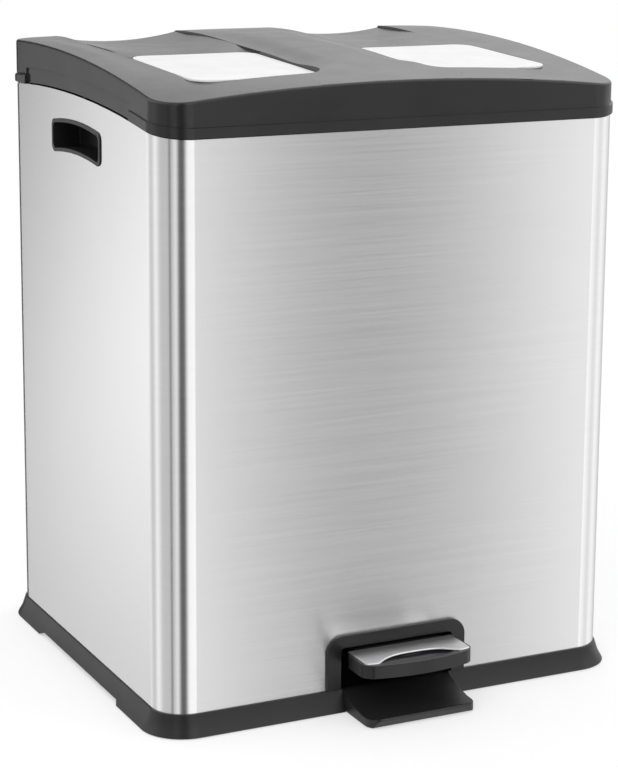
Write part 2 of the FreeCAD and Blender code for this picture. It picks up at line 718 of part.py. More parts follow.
def pedal_lever():
    """The steel strap from the pedal over its axle to the foot of the push rod."""
    lever = Piece("pedal_lever")
    half = s.strap_thick / 2
    low = pedal_foot + half
    bend = pedal_back + s.strap_bend
    end = rod_y - s.rod_width / 2 - s.strap_end
    end_z = s.pivot_z - rod_travel / 2 * (end + s.pivot_y) / lever_arm
    line = [(strap_front, low), (bend, low), (-s.pivot_y, s.pivot_z), (end, end_z)]
    profile = [(y, z - half) for y, z in line] + [(y, z + half) for y, z in reversed(line)]
    lever.add("YZ", -s.strap_width / 2, s.strap_width / 2, profile)
    barrel = disc(-s.pivot_y, s.pivot_z, s.barrel_radius)
    lever.add("YZ", -s.strap_width / 2, s.strap_width / 2, barrel)
    half = s.cheek_height / 2
    cheek = block(end - s.cheek_overlap, rod_y + half, link_z - half, link_z + half)
    for side in (-1, 1):
        lever.add("YZ", *side_span(side, crank_x, crank_x + s.bracket_thick), cheek)
    bore = disc(-s.pivot_y, s.pivot_z, s.axle_radius + s.running_fit + s.bush_wall)
    lever.cut("YZ", -s.strap_width, s.strap_width, bore)
    lever.cut("YZ", -s.strap_width, s.strap_width, disc(rod_y, link_z, s.link_radius))
    lever.cut("XY", pedal_foot - 1, pedal_foot + s.strap_thick + 1, *discs(pedal_spots, s.screw_radius))
    return lever.body


def pivot_bracket():
    """The bracket on the base's floor that holds the pedal axle between two cheeks."""
    bracket = Piece("pivot_bracket")
    foot_x = pivot_out + s.pivot_foot
    foot = block(-foot_x, foot_x, -s.pivot_y - s.pivot_foot_half, -s.pivot_y + s.pivot_foot_half)
    bracket.add("XY", s.plinth_floor, s.plinth_floor + s.bracket_thick, foot)
    cheek = block(-s.pivot_y - s.pivot_cheek, -s.pivot_y + s.pivot_cheek, s.plinth_floor, s.pivot_z)
    eye = disc(-s.pivot_y, s.pivot_z, s.barrel_radius + s.eye_wall)
    for side in (-1, 1):
        span = side_span(side, bracket_x, pivot_out)
        bracket.add("YZ", *span, cheek)
        bracket.add("YZ", *span, eye)
    bracket.cut("YZ", -foot_x, foot_x, disc(-s.pivot_y, s.pivot_z, s.axle_radius))
    top = s.plinth_floor + s.bracket_thick
    bracket.cut("XY", s.plinth_floor - 1, top + 1, *discs(pivot_spots, s.screw_radius))
    return bracket.body


def shaft(label, half_length, y, z, radius):
    """A plain round bar along X."""
    bar = Piece(label)
    bar.add("YZ", -half_length, half_length, disc(y, z, radius))
    return bar.body


def clips(label, spans, y, z, radius):
    """Retaining rings pushed on a shaft, each with an open side."""
    rings = Piece(label)
    for low, high in spans:
        rings.add("YZ", low, high, disc(y, z, radius + s.clip_wall), disc(y, z, radius))
    low, high = spans[0][0], spans[-1][1]
    mouth = block(y - radius * 0.7, y + radius * 0.7, z - radius - s.clip_wall - 1, z)
    rings.cut("YZ", low - 1, high + 1, mouth)
    return rings.body


def axle_bushes():
    """Two flanged nylon bushes in the lever's barrel, which run on the axle."""
    bushes = Piece("axle_bushes")
    bore = s.axle_radius + s.running_fit
    half = s.strap_width / 2
    for side in (-1, 1):
        sleeve = side_span(side, half * 0.3, half)
        flange = side_span(side, half, half + s.bracket_gap * 0.7)
        centre = (-s.pivot_y, s.pivot_z)
        bushes.add("YZ", *sleeve, disc(*centre, bore + s.bush_wall), disc(*centre, bore))
        bushes.add("YZ", *flange, disc(*centre, s.barrel_radius), disc(*centre, bore))
    return bushes.body


def push_rod():
    """The upright strip behind the buckets, with a cross slot at each end."""
    rod = Piece("push_rod")
    half = s.rod_width / 2
    span = (-s.rod_thick / 2, s.rod_thick / 2)
    reach = s.link_radius + s.crank_radius * (1 - cosine(s.lid_angle / 2)) / 2 + s.slot_spare
    rise = s.link_radius + s.slot_play
    rod.add("YZ", *span, block(rod_y - half, rod_y + half, link_z - rise - s.rod_cap, crank_z))
    head_y = reach + s.rod_rim
    head_z = rise + s.rod_cap
    head = rounded(rod_y - head_y, rod_y + head_y, crank_z - head_z, crank_z + head_z, s.rod_cap)
    rod.add("YZ", *span, head)
    slot = rounded(rod_y - reach, rod_y + reach, crank_z - rise, crank_z + rise, s.link_radius)
    rod.cut("YZ", -s.rod_thick, s.rod_thick, slot)
    foot_reach = s.link_radius + s.slot_spare * 2
    foot = rounded(rod_y - foot_reach, rod_y + foot_reach, link_z - rise, link_z + rise, s.link_radius)
    rod.cut("YZ", -s.rod_thick, s.rod_thick, foot)
    return rod.body


def rod_guides():
    """Two moulded guides on the back of the sheet, in which the push rod slides."""
    guides = Piece("rod_guides")
    wall = half_y - s.steel_wall
    front = rod_y - s.rod_width / 2 - s.guide_fit - s.guide_wall
    slot_x = s.rod_thick / 2 + s.guide_fit
    slot_y = s.rod_width / 2 + s.guide_fit
    for level in guide_levels:
        low, high = level - s.guide_height / 2, level + s.guide_height / 2
        guides.add("XY", low, high, block(-slot_x - s.guide_wall, slot_x + s.guide_wall, front, wall))
        flange_x = rivet_x + s.guide_flange
        flange = block(-flange_x, flange_x, wall - s.bracket_thick, wall)
        guides.add("XY", low - s.guide_flange_rise, high + s.guide_flange_rise, flange)
    slot = block(-slot_x, slot_x, rod_y - slot_y, rod_y + slot_y)
    guides.cut("XY", s.guide_low - s.guide_height, s.guide_high + s.guide_height, slot)
    guides.cut("XZ", wall - s.bracket_thick - 1, wall + 1, *discs(rivet_spots, s.screw_radius))
    return guides.body


def guide_rivets():
    rivets = Piece("guide_rivets")
    wall = half_y - s.steel_wall - s.bracket_thick
    rivets.add("XZ", wall, half_y, *discs(rivet_spots, s.screw_radius))
    rivets.add("XZ", half_y, half_y + s.rivet_head, *discs(rivet_spots, s.screw_head))
    rivets.add("XZ", wall - s.rivet_head, wall, *discs(rivet_spots, s.screw_radius + s.rivet_head))
    return rivets.body


def handle_cup(label, side):
    """A hand pocket in the side of the sheet, with a rim that covers the cut edge."""
    cup = Piece(label)
    cup.add("YZ", *side_span(side, half_x, half_x + s.cup_proud), cup_outline(0))
    outer = cup_outline(s.cup_rim - s.cup_wall)
    cup.add("YZ", *side_span(side, half_x - s.cup_depth - s.cup_wall, half_x + s.cup_proud / 2), outer)
    pocket = side_span(side, half_x - s.cup_depth, half_x + s.cup_proud + 1)
    cup.cut("YZ", *pocket, cup_outline(s.cup_rim))
    return cup.body


def top_collar():
    """The plastic ring inside the top of the sheet. It carries the hinge and two lid stops."""
    collar = Piece("top_collar")
    collar.add("XY", s.collar_foot, s.shell_peak + slack, plan(inside), plan(inside - s.collar_wall))
    ledge = plan(inside - s.collar_wall - s.collar_ledge)
    collar.add("XY", s.collar_foot, s.collar_foot + s.collar_wall, plan(inside - s.collar_wall / 2), ledge)
    collar.cut("YZ", -half_x, half_x, arch(-s.collar_drop), around_arch())
    back = block(-half_x, half_x, s.hinge_y - s.collar_relief, half_y)
    collar.cut("XY", s.collar_back, s.shell_peak + slack + 1, back)
    front = -half_y - inside + s.collar_wall / 2
    stop_half = s.buffer_radius + s.buffer_edge
    for side in (-1, 1):
        tab = side_span(side, buffer_x - stop_half, buffer_x + stop_half)
        stop = block(*tab, front, buffer_y + stop_half)
        collar.add("XY", s.collar_foot, s.liner_foot - s.buffer_high, stop)
    collar.cut("YZ", -half_x, half_x, cup_outline(s.cup_rim - s.cup_wall - 1.5))
    holes = discs(bracket_spots, s.screw_radius)
    collar.cut("XZ", plate_y - 1, half_y, *holes)
    return collar.body


def lid_buffers():
    buffers = Piece("lid_buffers")
    spots = [(-buffer_x, buffer_y), (buffer_x, buffer_y)]
    buffers.add("XY", s.liner_foot - s.buffer_high, s.liner_foot, *discs(spots, s.buffer_radius))
    return buffers.body


def hinge_bracket():
    """The fixed half of the lid hinge: a plate on the collar's back wall with two ears."""
    bracket = Piece("hinge_bracket")
    plate = block(-ear_out, ear_out, fixed_plate_foot, s.collar_back)
    bracket.add("XZ", plate_y - s.bracket_thick, plate_y, plate)
    ear = block(s.hinge_y - s.ear_radius, plate_y, fixed_plate_foot + s.ear_foot, s.hinge_z)
    eye = disc(s.hinge_y, s.hinge_z, s.ear_radius)
    for side in (-1, 1):
        span = side_span(side, ear_in, ear_out)
        bracket.add("YZ", *span, ear)
        bracket.add("YZ", *span, eye)
    bracket.cut("YZ", -ear_out - 1, ear_out + 1, disc(s.hinge_y, s.hinge_z, s.hinge_radius))
    holes = discs(bracket_spots, s.screw_radius)
    bracket.cut("XZ", plate_y - s.bracket_thick - 1, plate_y + 1, *holes)
    return bracket.body


def hinge_cover():
    """The fixed cover behind the hinge, rolled round its eyes."""
    cover = Piece("hinge_cover")
    half = ear_out + s.cover_gap
    inner = s.ear_radius + s.cover_gap
    outer = inner + s.cover_wall
    centre = (s.hinge_y, s.hinge_z)
    cover.add("YZ", -half, half, disc(*centre, outer), disc(*centre, inner))
    low, high = s.hinge_z - outer - nick, s.hinge_z + outer + nick
    before = block(s.hinge_y - outer - nick, s.hinge_y, low, high)
    above = block(s.hinge_y - nick, s.hinge_y + outer + nick, s.hinge_z + s.cover_lip, high)
    cover.cut("YZ", -half - nick, half + nick, before)
    cover.cut("YZ", -half - nick, half + nick, above)
    ends = ear_out + s.sheet_fit
    gap = ear_in - s.sheet_fit
    for side in (-1, 1):
        cover.cut("YZ", *side_span(side, gap, ends), block(s.hinge_y - nick, plate_y, low, high))
    step = s.hinge_z - s.cover_step
    cover.add("YZ", -half, half, block(plate_y, plate_y + s.cover_wall, s.collar_back, step))
    web = block(s.hinge_y + s.cover_gap, plate_y + s.cover_wall, step - s.cover_wall - s.cover_gap, step)
    for span in ((-half, -ends), (-gap, gap), (ends, half)):
        cover.add("YZ", *span, web)
    return cover.body


def screws(label, plane, seat, length, spots, head_up=False):
    """Slotted screws. The seat is where the head's underside lies; head_up puts it on the high side."""
    group = Piece(label)
    seat = as_size(seat)
    out = seat + s.head_height if head_up else seat - s.head_height
    end = seat - length if head_up else seat + length
    head = (seat, out) if head_up else (out, seat)
    shank = (end, seat) if head_up else (seat, end)
    group.add(plane, *head, *discs(spots, s.screw_head))
    group.add(plane, *shank, *discs(spots, s.screw_radius))
    slot = (out - s.head_height / 2, out + 1) if head_up else (out - 1, out + s.head_height / 2)
    half = s.screw_slot / 2
    cuts = [block(x - s.screw_head - 1, x + s.screw_head + 1, y - half, y + half) for x, y in spots]
    for mark in cuts:
        group.cut(plane, *slot, mark)
    return group.body


def bucket(label, side):
    """An inner bucket: tapered walls, a floor and a rim flange that is wide enough to lift by."""
    pail = Piece(label)
    flange_x = side_span(side, s.bucket_middle / 2, half_x - s.bucket_side)
    flange_y = (-half_y + s.bucket_front, half_y - s.bucket_back)
    seat = s.deck_top + s.bucket_seat

    def outline(draw_in, ends_in):
        x0, x1 = flange_x
        y0, y1 = flange_y
        radius = s.bucket_corner - draw_in
        return rounded(x0 + draw_in, x1 - draw_in, y0 + ends_in, y1 - ends_in, radius)

    def section(height, inset):
        draw_in = s.bucket_taper * (s.bucket_top - height) / (s.bucket_top - seat) + inset
        return (height, outline(s.bucket_lip + draw_in, s.bucket_grip + draw_in))

    pail.loft([section(seat, 0), section(s.bucket_top, 0)])
    flange = outline(as_size(0), as_size(0))
    pail.add("XY", s.bucket_top - s.bucket_lip_high, s.bucket_top, flange)
    hollow = [section(seat + s.bucket_wall, s.bucket_wall), section(s.bucket_top + slack, s.bucket_wall)]
    pail.loft(hollow, hollow=True)
    return pail.body


def bucket_deck():
    """The floor under the buckets: a plate on legs that covers the pedal lever."""
    deck = Piece("bucket_deck")
    edge = half_x - s.steel_wall - s.deck_gap
    front = -half_y + s.steel_wall + s.deck_gap
    back = half_y - s.deck_back
    corner = s.body_corner - s.steel_wall - s.deck_gap
    deck.add("XY", s.deck_top - s.deck_thick, s.deck_top, rounded(-edge, edge, front, back, corner))
    leg = s.deck_leg / 2
    leg_x = edge - s.plinth_wall - s.body_corner
    leg_rows = (front + s.plinth_wall + s.body_corner, back - leg - s.deck_leg_back)
    legs = [block(x - leg, x + leg, y - leg, y + leg) for x in (-leg_x, leg_x) for y in leg_rows]
    hollows = [block(loop[0][0] + s.deck_thick, loop[1][0] - s.deck_thick,
                     loop[0][1] + s.deck_thick, loop[2][1] - s.deck_thick) for loop in legs]
    for loop, hollow in zip(legs, hollows):
        deck.add("XY", s.plinth_floor, s.deck_top - s.deck_thick / 2, loop, hollow)
    return deck.body


def lid_heights(y):
    """The lid's upper face at its sides and along its middle line."""
    side = s.lid_side_peak - s.lid_side_radius
    side += root(s.lid_side_radius * s.lid_side_radius - (y - s.lid_side_peak_y) * (y - s.lid_side_peak_y))
    middle = s.lid_mid_peak - s.lid_mid_radius
    middle += root(s.lid_mid_radius * s.lid_mid_radius - (y - s.lid_mid_peak_y) * (y - s.lid_mid_peak_y))
    return side, middle


def crown(sink):
    """Everything under the lid's upper face, sunk by a wall where asked."""
    sections = []
    reach = half_x + 10
    for share in (-1.06, -0.55, 0, 0.55, 1.06):
        y = half_y * share
        side, middle = lid_heights(y)
        fall = (middle - side) * reach * reach / (half_x * half_x)
        bow = (reach * reach + fall * fall) / (fall * 2)
        top = middle - sink
        foot = s.lid_back_foot - 60
        outline = [(-reach, foot), (reach, foot), (reach, top - fall, 0, top - bow), (-reach, top - fall)]
        sections.append((y, outline))
    return loft(sections, False)


def scoop(sink, grow):
    """Everything above the floor of the scoop on the right: flat at the front, bowed at the back."""
    inner = s.scoop_inner - grow
    outer = scoop_outer + grow
    middle = (inner + outer) / 2
    half = (outer - inner) / 2
    high = s.lid_mid_peak + 30
    stations = (
        (-s.scoop_front - grow - 1, s.scoop_front_z, s.scoop_rise, 0),
        (s.inlay_back, s.scoop_step_z, s.scoop_rise, 0),
        (half_y + 12, s.scoop_back_z, s.scoop_bow, s.scoop_tilt),
    )
    sections = []
    for y, floor, bow, tilt in stations:
        low = floor - sink
        radius = (half * half + bow * bow) / (as_size(bow) * 2)
        outline = [
            (inner, high), (inner, low + bow + tilt / 2, middle, low + radius),
            (outer, low + bow - tilt / 2), (outer, high),
        ]
        sections.append((y, outline))
    plan_box = rounded(inner, outer, -s.scoop_front - grow, half_y + 60, s.scoop_corner + grow)
    return common(loft(sections, True), prism(s.lid_back_foot, high + 1, plan_box))


def lid_shell():
    """The lid: a crowned moulding with a band, two scoops, finger grooves and a hinge notch."""
    low, high = s.lid_back_foot - 40, s.lid_mid_peak + 20
    band_top = s.arch_radius + s.lid_gap + s.band_height
    centre = (s.shell_peak_y, s.shell_peak - s.arch_radius)
    reach = half_x + 20
    band = common(prism(low, high, plan(s.band_proud)), across(band_top, reach, *centre))
    solid = common(joined(prism(low, high, plan(s.skirt_proud)), band), crown(0))
    under = scoop(s.inlay_thick + s.scoop_wall, s.lid_wall)
    void = common(prism(low - 1, high, plan(s.skirt_proud - s.lid_wall)), crown(s.lid_wall))
    void = less(less(void, under), mirrored(under))
    posts = discs(liner_spots, s.post_radius)
    brackets = discs(leaf_spots, s.post_radius)
    posts = joined(prism(liner_top, high, *posts), prism(leaf_top, high, *brackets))
    void = less(void, posts)
    lid = less(solid, void)
    lid = less(lid, across(s.arch_radius + s.lid_gap, reach, *centre))
    back = block(-reach, reach, s.hinge_y - s.lid_back_start, half_y + slack)
    lid = less(lid, prism(low - 1, s.lid_back_foot, back))
    notch_x = ear_out + s.notch_gap
    notch = block(-notch_x, notch_x, half_y - s.notch_depth, half_y + slack)
    lid = less(lid, prism(low - 1, s.notch_high, notch))
    opening = scoop(0, 0)
    bed = rounded(s.scoop_inner, scoop_outer, -s.scoop_front, s.inlay_back + s.inlay_gap, s.scoop_corner)
    bed = common(scoop(s.inlay_thick, 0), prism(s.lid_back_foot, high, bed))
    cut_out = joined(opening, bed)
    lid = less(less(lid, cut_out), mirrored(cut_out))
    groove = block(half_x + s.skirt_proud - s.grip_depth, reach, -s.grip_front, s.grip_back)
    groove_top = s.arch_radius + s.lid_gap + s.grip_height
    groove = common(prism(low, high, groove), across(groove_top, reach + nick, *centre))
    lid = less(less(lid, groove), mirrored(groove))
    holes = discs(liner_spots, s.screw_radius)
    lid = less(lid, prism(low, liner_top + s.screw_length - s.liner_thick, *holes))
    holes = discs(leaf_spots, s.screw_radius)
    return less(lid, prism(leaf_foot, leaf_foot + s.screw_length, *holes))


def inlay(side):
    """The white inlay at the front of a scoop."""
    gap = s.inlay_gap
    bed = rounded(s.scoop_inner + gap, scoop_outer - gap, -s.scoop_front + gap, s.inlay_back,
                  s.scoop_corner - gap)
    slab = prism(s.lid_back_foot, s.lid_mid_peak + 20, bed)
    plate = less(common(slab, scoop(s.inlay_thick, 0)), scoop(0, 0))
    return plate if side > 0 else mirrored(plate)


def lid_liner():
    """The flat tray that closes the lid from below, with a short rim."""
    liner = Piece("lid_liner")
    edge = half_x - s.liner_inset
    front = -half_y + s.liner_inset
    back = half_y - s.liner_back
    radius = s.body_corner - s.liner_inset
    outline = rounded(-edge, edge, front, back, radius)
    liner.add("XY", s.liner_foot, liner_top, outline)
    wall = s.liner_thick
    inner = rounded(-edge + wall, edge - wall, front + wall, back - wall, radius - wall)
    liner.add("XY", s.liner_foot + wall / 2, s.liner_foot + s.liner_rim, outline, inner)
    liner.cut("XY", s.liner_foot - 1, liner_top + 1, *discs(liner_spots, s.screw_radius))
    return liner.body


def hinge_leaf():
    """The moving half of the hinge: a plate under the lid with two eyes on the pin."""
    leaf = Piece("hinge_leaf")
    back = s.hinge_y - s.leaf_start
    plate = block(-knuckle_out, knuckle_out, back - s.leaf_length, back)
    leaf.add("XY", leaf_foot, leaf_top, plate)
    arm = block(back - s.leaf_arm, back, s.hinge_z + s.leaf_drop, leaf_foot + s.bracket_thick / 2)
    for side in (-1, 1):
        span = side_span(side, knuckle_in, knuckle_out)
        leaf.add("YZ", *span, arm)
        leaf.add("YZ", *span, disc(s.hinge_y, s.hinge_z, s.ear_radius))
    leaf.cut("YZ", -ear_out, ear_out, disc(s.hinge_y, s.hinge_z, s.hinge_radius + s.running_fit))
    leaf.cut("XY", leaf_foot - 1, leaf_top + 1, *discs(leaf_spots + crank_spots, s.screw_radius))
    return leaf.body


def crank_arm():
    """The arm under the hinge leaf that the push rod lifts."""
    crank = Piece("crank_arm")
    span = (crank_x, crank_x + s.bracket_thick)
    radius = s.link_radius + s.crank_rim
    top_y = s.hinge_y - s.crank_root_y
    top_front, top_back = top_y - s.crank_root / 2, top_y + s.crank_root / 2
    arm = [
        (crank_y - radius, crank_z), (crank_y + radius, crank_z),
        (top_back, leaf_foot), (top_front, leaf_foot),
    ]
    crank.add("YZ", *span, arm)
    crank.add("YZ", *span, disc(crank_y, crank_z, radius))
    flange = block(crank_x, crank_x + s.crank_flange, top_front, top_back)
    crank.add("XY", leaf_foot - s.bracket_thick, leaf_foot, flange)
    crank.cut("YZ", crank_x - 1, crank_x + s.bracket_thick + 1, disc(crank_y, crank_z, s.link_radius))
    crank.cut("XY", leaf_foot - s.bracket_thick - 1, leaf_foot + 1, *discs(crank_spots, s.screw_radius))
    return crank.body


def crank_pin():
    """The pin of the crank arm, in the upper slot of the push rod."""
    pin = Piece("crank_pin")
    outside = crank_x + s.bracket_thick
    end = -crank_x - s.clip_thick - s.shaft_end
    pin.add("YZ", end, outside, disc(crank_y, crank_z, s.link_radius))
    pin.add("YZ", outside, outside + s.pin_rim, disc(crank_y, crank_z, s.link_radius + s.pin_rim))
    return pin.body


def make_pieces():
    """Every sub-part by its label."""
    seats = {"axle": pivot_out, "hinge": ear_out, "link": crank_x + s.bracket_thick}
    halves = {name: seat + s.clip_thick + s.shaft_end for name, seat in seats.items()}
    ends = {}
    for name, seat in seats.items():
        ends[name] = [side_span(side, seat, seat + s.clip_thick) for side in (-1, 1)]
    pieces = {
        "outer_shell": outer_shell(),
        "base_plinth": base_plinth(),
        "rubber_feet": rubber_feet(),
        "pedal_bezel": pedal_bezel(),
        "toe_plate": toe_plate(),
        "bucket_deck": bucket_deck(),
        "top_collar": top_collar(),
        "lid_buffers": lid_buffers(),
        "handle_cup_left": handle_cup("handle_cup_left", -1),
        "handle_cup_right": handle_cup("handle_cup_right", 1),
        "hinge_bracket": hinge_bracket(),
        "hinge_cover": hinge_cover(),
        "hinge_pin": shaft("hinge_pin", halves["hinge"], s.hinge_y, s.hinge_z, s.hinge_radius),
        "hinge_clips": clips("hinge_clips", ends["hinge"], s.hinge_y, s.hinge_z, s.hinge_radius),
        "bracket_screws": screws("bracket_screws", "XZ", plate_y - s.bracket_thick,
                                 s.bracket_thick + s.collar_wall, bracket_spots),
        "rod_guides": rod_guides(),
        "guide_rivets": guide_rivets(),
        "pivot_bracket": pivot_bracket(),
        "pivot_screws": screws("pivot_screws", "XY", s.plinth_floor + s.bracket_thick,
                               s.bracket_thick + s.plinth_plate, pivot_spots, True),
        "pedal_axle": shaft("pedal_axle", halves["axle"], -s.pivot_y, s.pivot_z, s.axle_radius),
        "axle_clips": clips("axle_clips", ends["axle"], -s.pivot_y, s.pivot_z, s.axle_radius),
        "bucket_left": bucket("bucket_left", -1),
        "bucket_right": bucket("bucket_right", 1),
        "pedal_body": pedal_body(),
        "pedal_plate": pedal_plate(),
        "pedal_lever": pedal_lever(),
        "axle_bushes": axle_bushes(),
        "pedal_screws": screws("pedal_screws", "XY", pedal_foot, s.pedal_screw, pedal_spots),
        "lever_pin": shaft("lever_pin", halves["link"], rod_y, link_z, s.link_radius),
        "lever_clips": clips("lever_clips", ends["link"], rod_y, link_z, s.link_radius),
        "push_rod": push_rod(),
        "lid_shell": lid_shell(),
        "inlay_right": inlay(1),
        "inlay_left": inlay(-1),
        "lid_liner": lid_liner(),
        "liner_screws": screws("liner_screws", "XY", s.liner_foot, s.screw_length, liner_spots),
        "hinge_leaf": hinge_leaf(),
        "leaf_screws": screws("leaf_screws", "XY", leaf_foot, s.screw_length, leaf_spots),
        "crank_arm": crank_arm(),
        "crank_screws": screws("crank_screws", "XY", leaf_foot - s.bracket_thick,
                               s.bracket_thick * 2, crank_spots),
        "crank_pin": crank_pin(),
        "crank_clip": clips("crank_clip", [(-crank_x - s.clip_thick, -crank_x)],
                            crank_y, crank_z, s.link_radius),
    }
    for label, piece in pieces.items():
        piece.Label = label
    return pieces


def check(pieces):
    """Stops if a feature failed or a sub-part has no sound shape."""
    failed = [item.Name for item in doc.Objects if {"Invalid", "Error"} & set(item.State)]
    if failed:
        raise RuntimeError(f"features failed: {failed}")
    for label, piece in pieces.items():
        if piece.Shape.isNull() or not piece.Shape.isValid() or not piece.Shape.Solids:
            raise RuntimeError(f"{label} has no sound shape")


def main():
    pieces = make_pieces()
    reach_front = half_y + s.toe_reach
    reach_back = half_y + s.plinth_flare
    for piece in pieces.values():
        bind(piece, "Placement.Base.y", (reach_front - reach_back) / 2)
    doc.recompute()
    check(pieces)
    os.makedirs("parts", exist_ok=True)
    for label, piece in pieces.items():
        piece.Shape.exportStep(f"parts/{label}.step")
        print(label, len(piece.Shape.Solids), round(piece.Shape.Volume))


main()
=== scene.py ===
import json
import math

import bmesh
import bpy
from mathutils import Matrix, Vector


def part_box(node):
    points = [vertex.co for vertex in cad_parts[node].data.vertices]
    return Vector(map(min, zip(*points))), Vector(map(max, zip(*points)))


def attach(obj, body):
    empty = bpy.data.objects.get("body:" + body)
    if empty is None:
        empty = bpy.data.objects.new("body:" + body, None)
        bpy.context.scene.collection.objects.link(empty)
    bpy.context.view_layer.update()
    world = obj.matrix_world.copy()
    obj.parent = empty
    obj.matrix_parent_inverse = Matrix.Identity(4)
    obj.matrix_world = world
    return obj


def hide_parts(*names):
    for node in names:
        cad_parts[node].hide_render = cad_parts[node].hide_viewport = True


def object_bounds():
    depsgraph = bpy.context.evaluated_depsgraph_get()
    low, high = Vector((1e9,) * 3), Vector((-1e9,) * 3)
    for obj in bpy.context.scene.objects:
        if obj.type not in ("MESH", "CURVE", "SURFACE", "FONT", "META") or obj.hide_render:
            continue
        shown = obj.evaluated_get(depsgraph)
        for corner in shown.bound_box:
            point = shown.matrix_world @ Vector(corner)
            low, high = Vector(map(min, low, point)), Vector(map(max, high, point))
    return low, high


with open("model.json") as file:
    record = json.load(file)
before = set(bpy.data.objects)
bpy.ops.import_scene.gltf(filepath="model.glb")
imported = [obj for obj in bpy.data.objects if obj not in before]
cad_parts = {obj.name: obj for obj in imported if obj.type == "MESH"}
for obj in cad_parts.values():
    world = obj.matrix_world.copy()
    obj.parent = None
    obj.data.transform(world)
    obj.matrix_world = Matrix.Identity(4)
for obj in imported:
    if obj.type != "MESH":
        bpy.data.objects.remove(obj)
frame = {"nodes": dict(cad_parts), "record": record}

bl_info = {
    "name": "Double Recycling Bin",
    "version": (1, 0, 0),
    "blender": (4, 5, 0),
    "location": "View3D > Sidebar > Bin",
    "description": "Dresses the steel pedal bin with two inner buckets and sets up its studio",
    "category": "Object",
}

CAD_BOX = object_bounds()
SENSOR = 36.0
MILLIMETRE = 0.001
WELD = 0.001 * MILLIMETRE
CREASE = 32.0
UPWARD = 0.6

# Arcs of the lid's upper face, seen from the side: height of the top, its place along Y, radius.
SIDE_ARC = (0.550, 0.1227, 1.5)
MIDDLE_ARC = (0.5532, 0.1027, 2.044)

# Places on the lid, from its middle: the steel's side, a scoop's two sides and the back of an inlay.
HALF_WIDTH = 0.215
SCOOP_INNER = 0.049
SCOOP_OUTER = 0.168
INLAY_BACK = 0.0307

# Height of an inlay's outer edge at its back, and its fall for each metre towards the front.
INLAY_HEIGHT = 0.54475
INLAY_SLOPE = 0.0459

# The lid's rim: how far in it reaches along the sides and at the corners, which start at LID_CORNER,
# and the height above which edges belong to the lid's top.
RIM_DEPTH = 5.5 * MILLIMETRE
CORNER_DEPTH = 13 * MILLIMETRE
LID_CORNER = 0.19
BAND_TOP = 515 * MILLIMETRE

# How far below the crown the lid's face and its scoops lie at most, and the strip at the back that
# stays as it is.
FACE_LAYER = 3.2 * MILLIMETRE
SCOOP_LAYER = 22 * MILLIMETRE
BACK_STRIP = 9 * MILLIMETRE

# How many cuts take in each slope of the lid, and the rows of cuts along it, a pitch in millimetres apart.
SPINE_CUTS = 7
SIDE_CUTS = 6
ROW_PITCH = 14
ROWS = range(-11, 12)

# Where along Y the slopes of the lid grow, and where they run out.
SPINE_START = (-0.104, -0.05)
SPINE_END = (INLAY_BACK, 0.19)
BORDER_END = (0.1, 0.2)
FLOOR_START = (INLAY_BACK + 3 * MILLIMETRE, 0.075)
FLOOR_END = (0.12, 0.2)

# A seat's share of its inlay's width and length, so that their walls stay apart.
SEAT_SHARE = 0.994

# The pedal: how far back the bend of its front reaches, the square of the share of its half width
# where that bend is nil, the radius of the plate's front corners, and the run and cuts of the dish.
BEND_REACH = 45 * MILLIMETRE
BEND_STILL = 0.4
PLATE_CORNER = 3 * MILLIMETRE
DISH_RAMP = 5 * MILLIMETRE
DISH_COLUMN = 3
DISH_ROWS = 24

# The studio: half the side of the floor, its glow for the camera, and the lamp.
FLOOR_HALF = 6.0
FLOOR_GLOW = 0.5
LAMP_SIZE = 1.6
LAMP_PLACE = (-1.2, -1.2, 2.2)
LAMP_TARGET = (0.0, 0.0, 0.3)


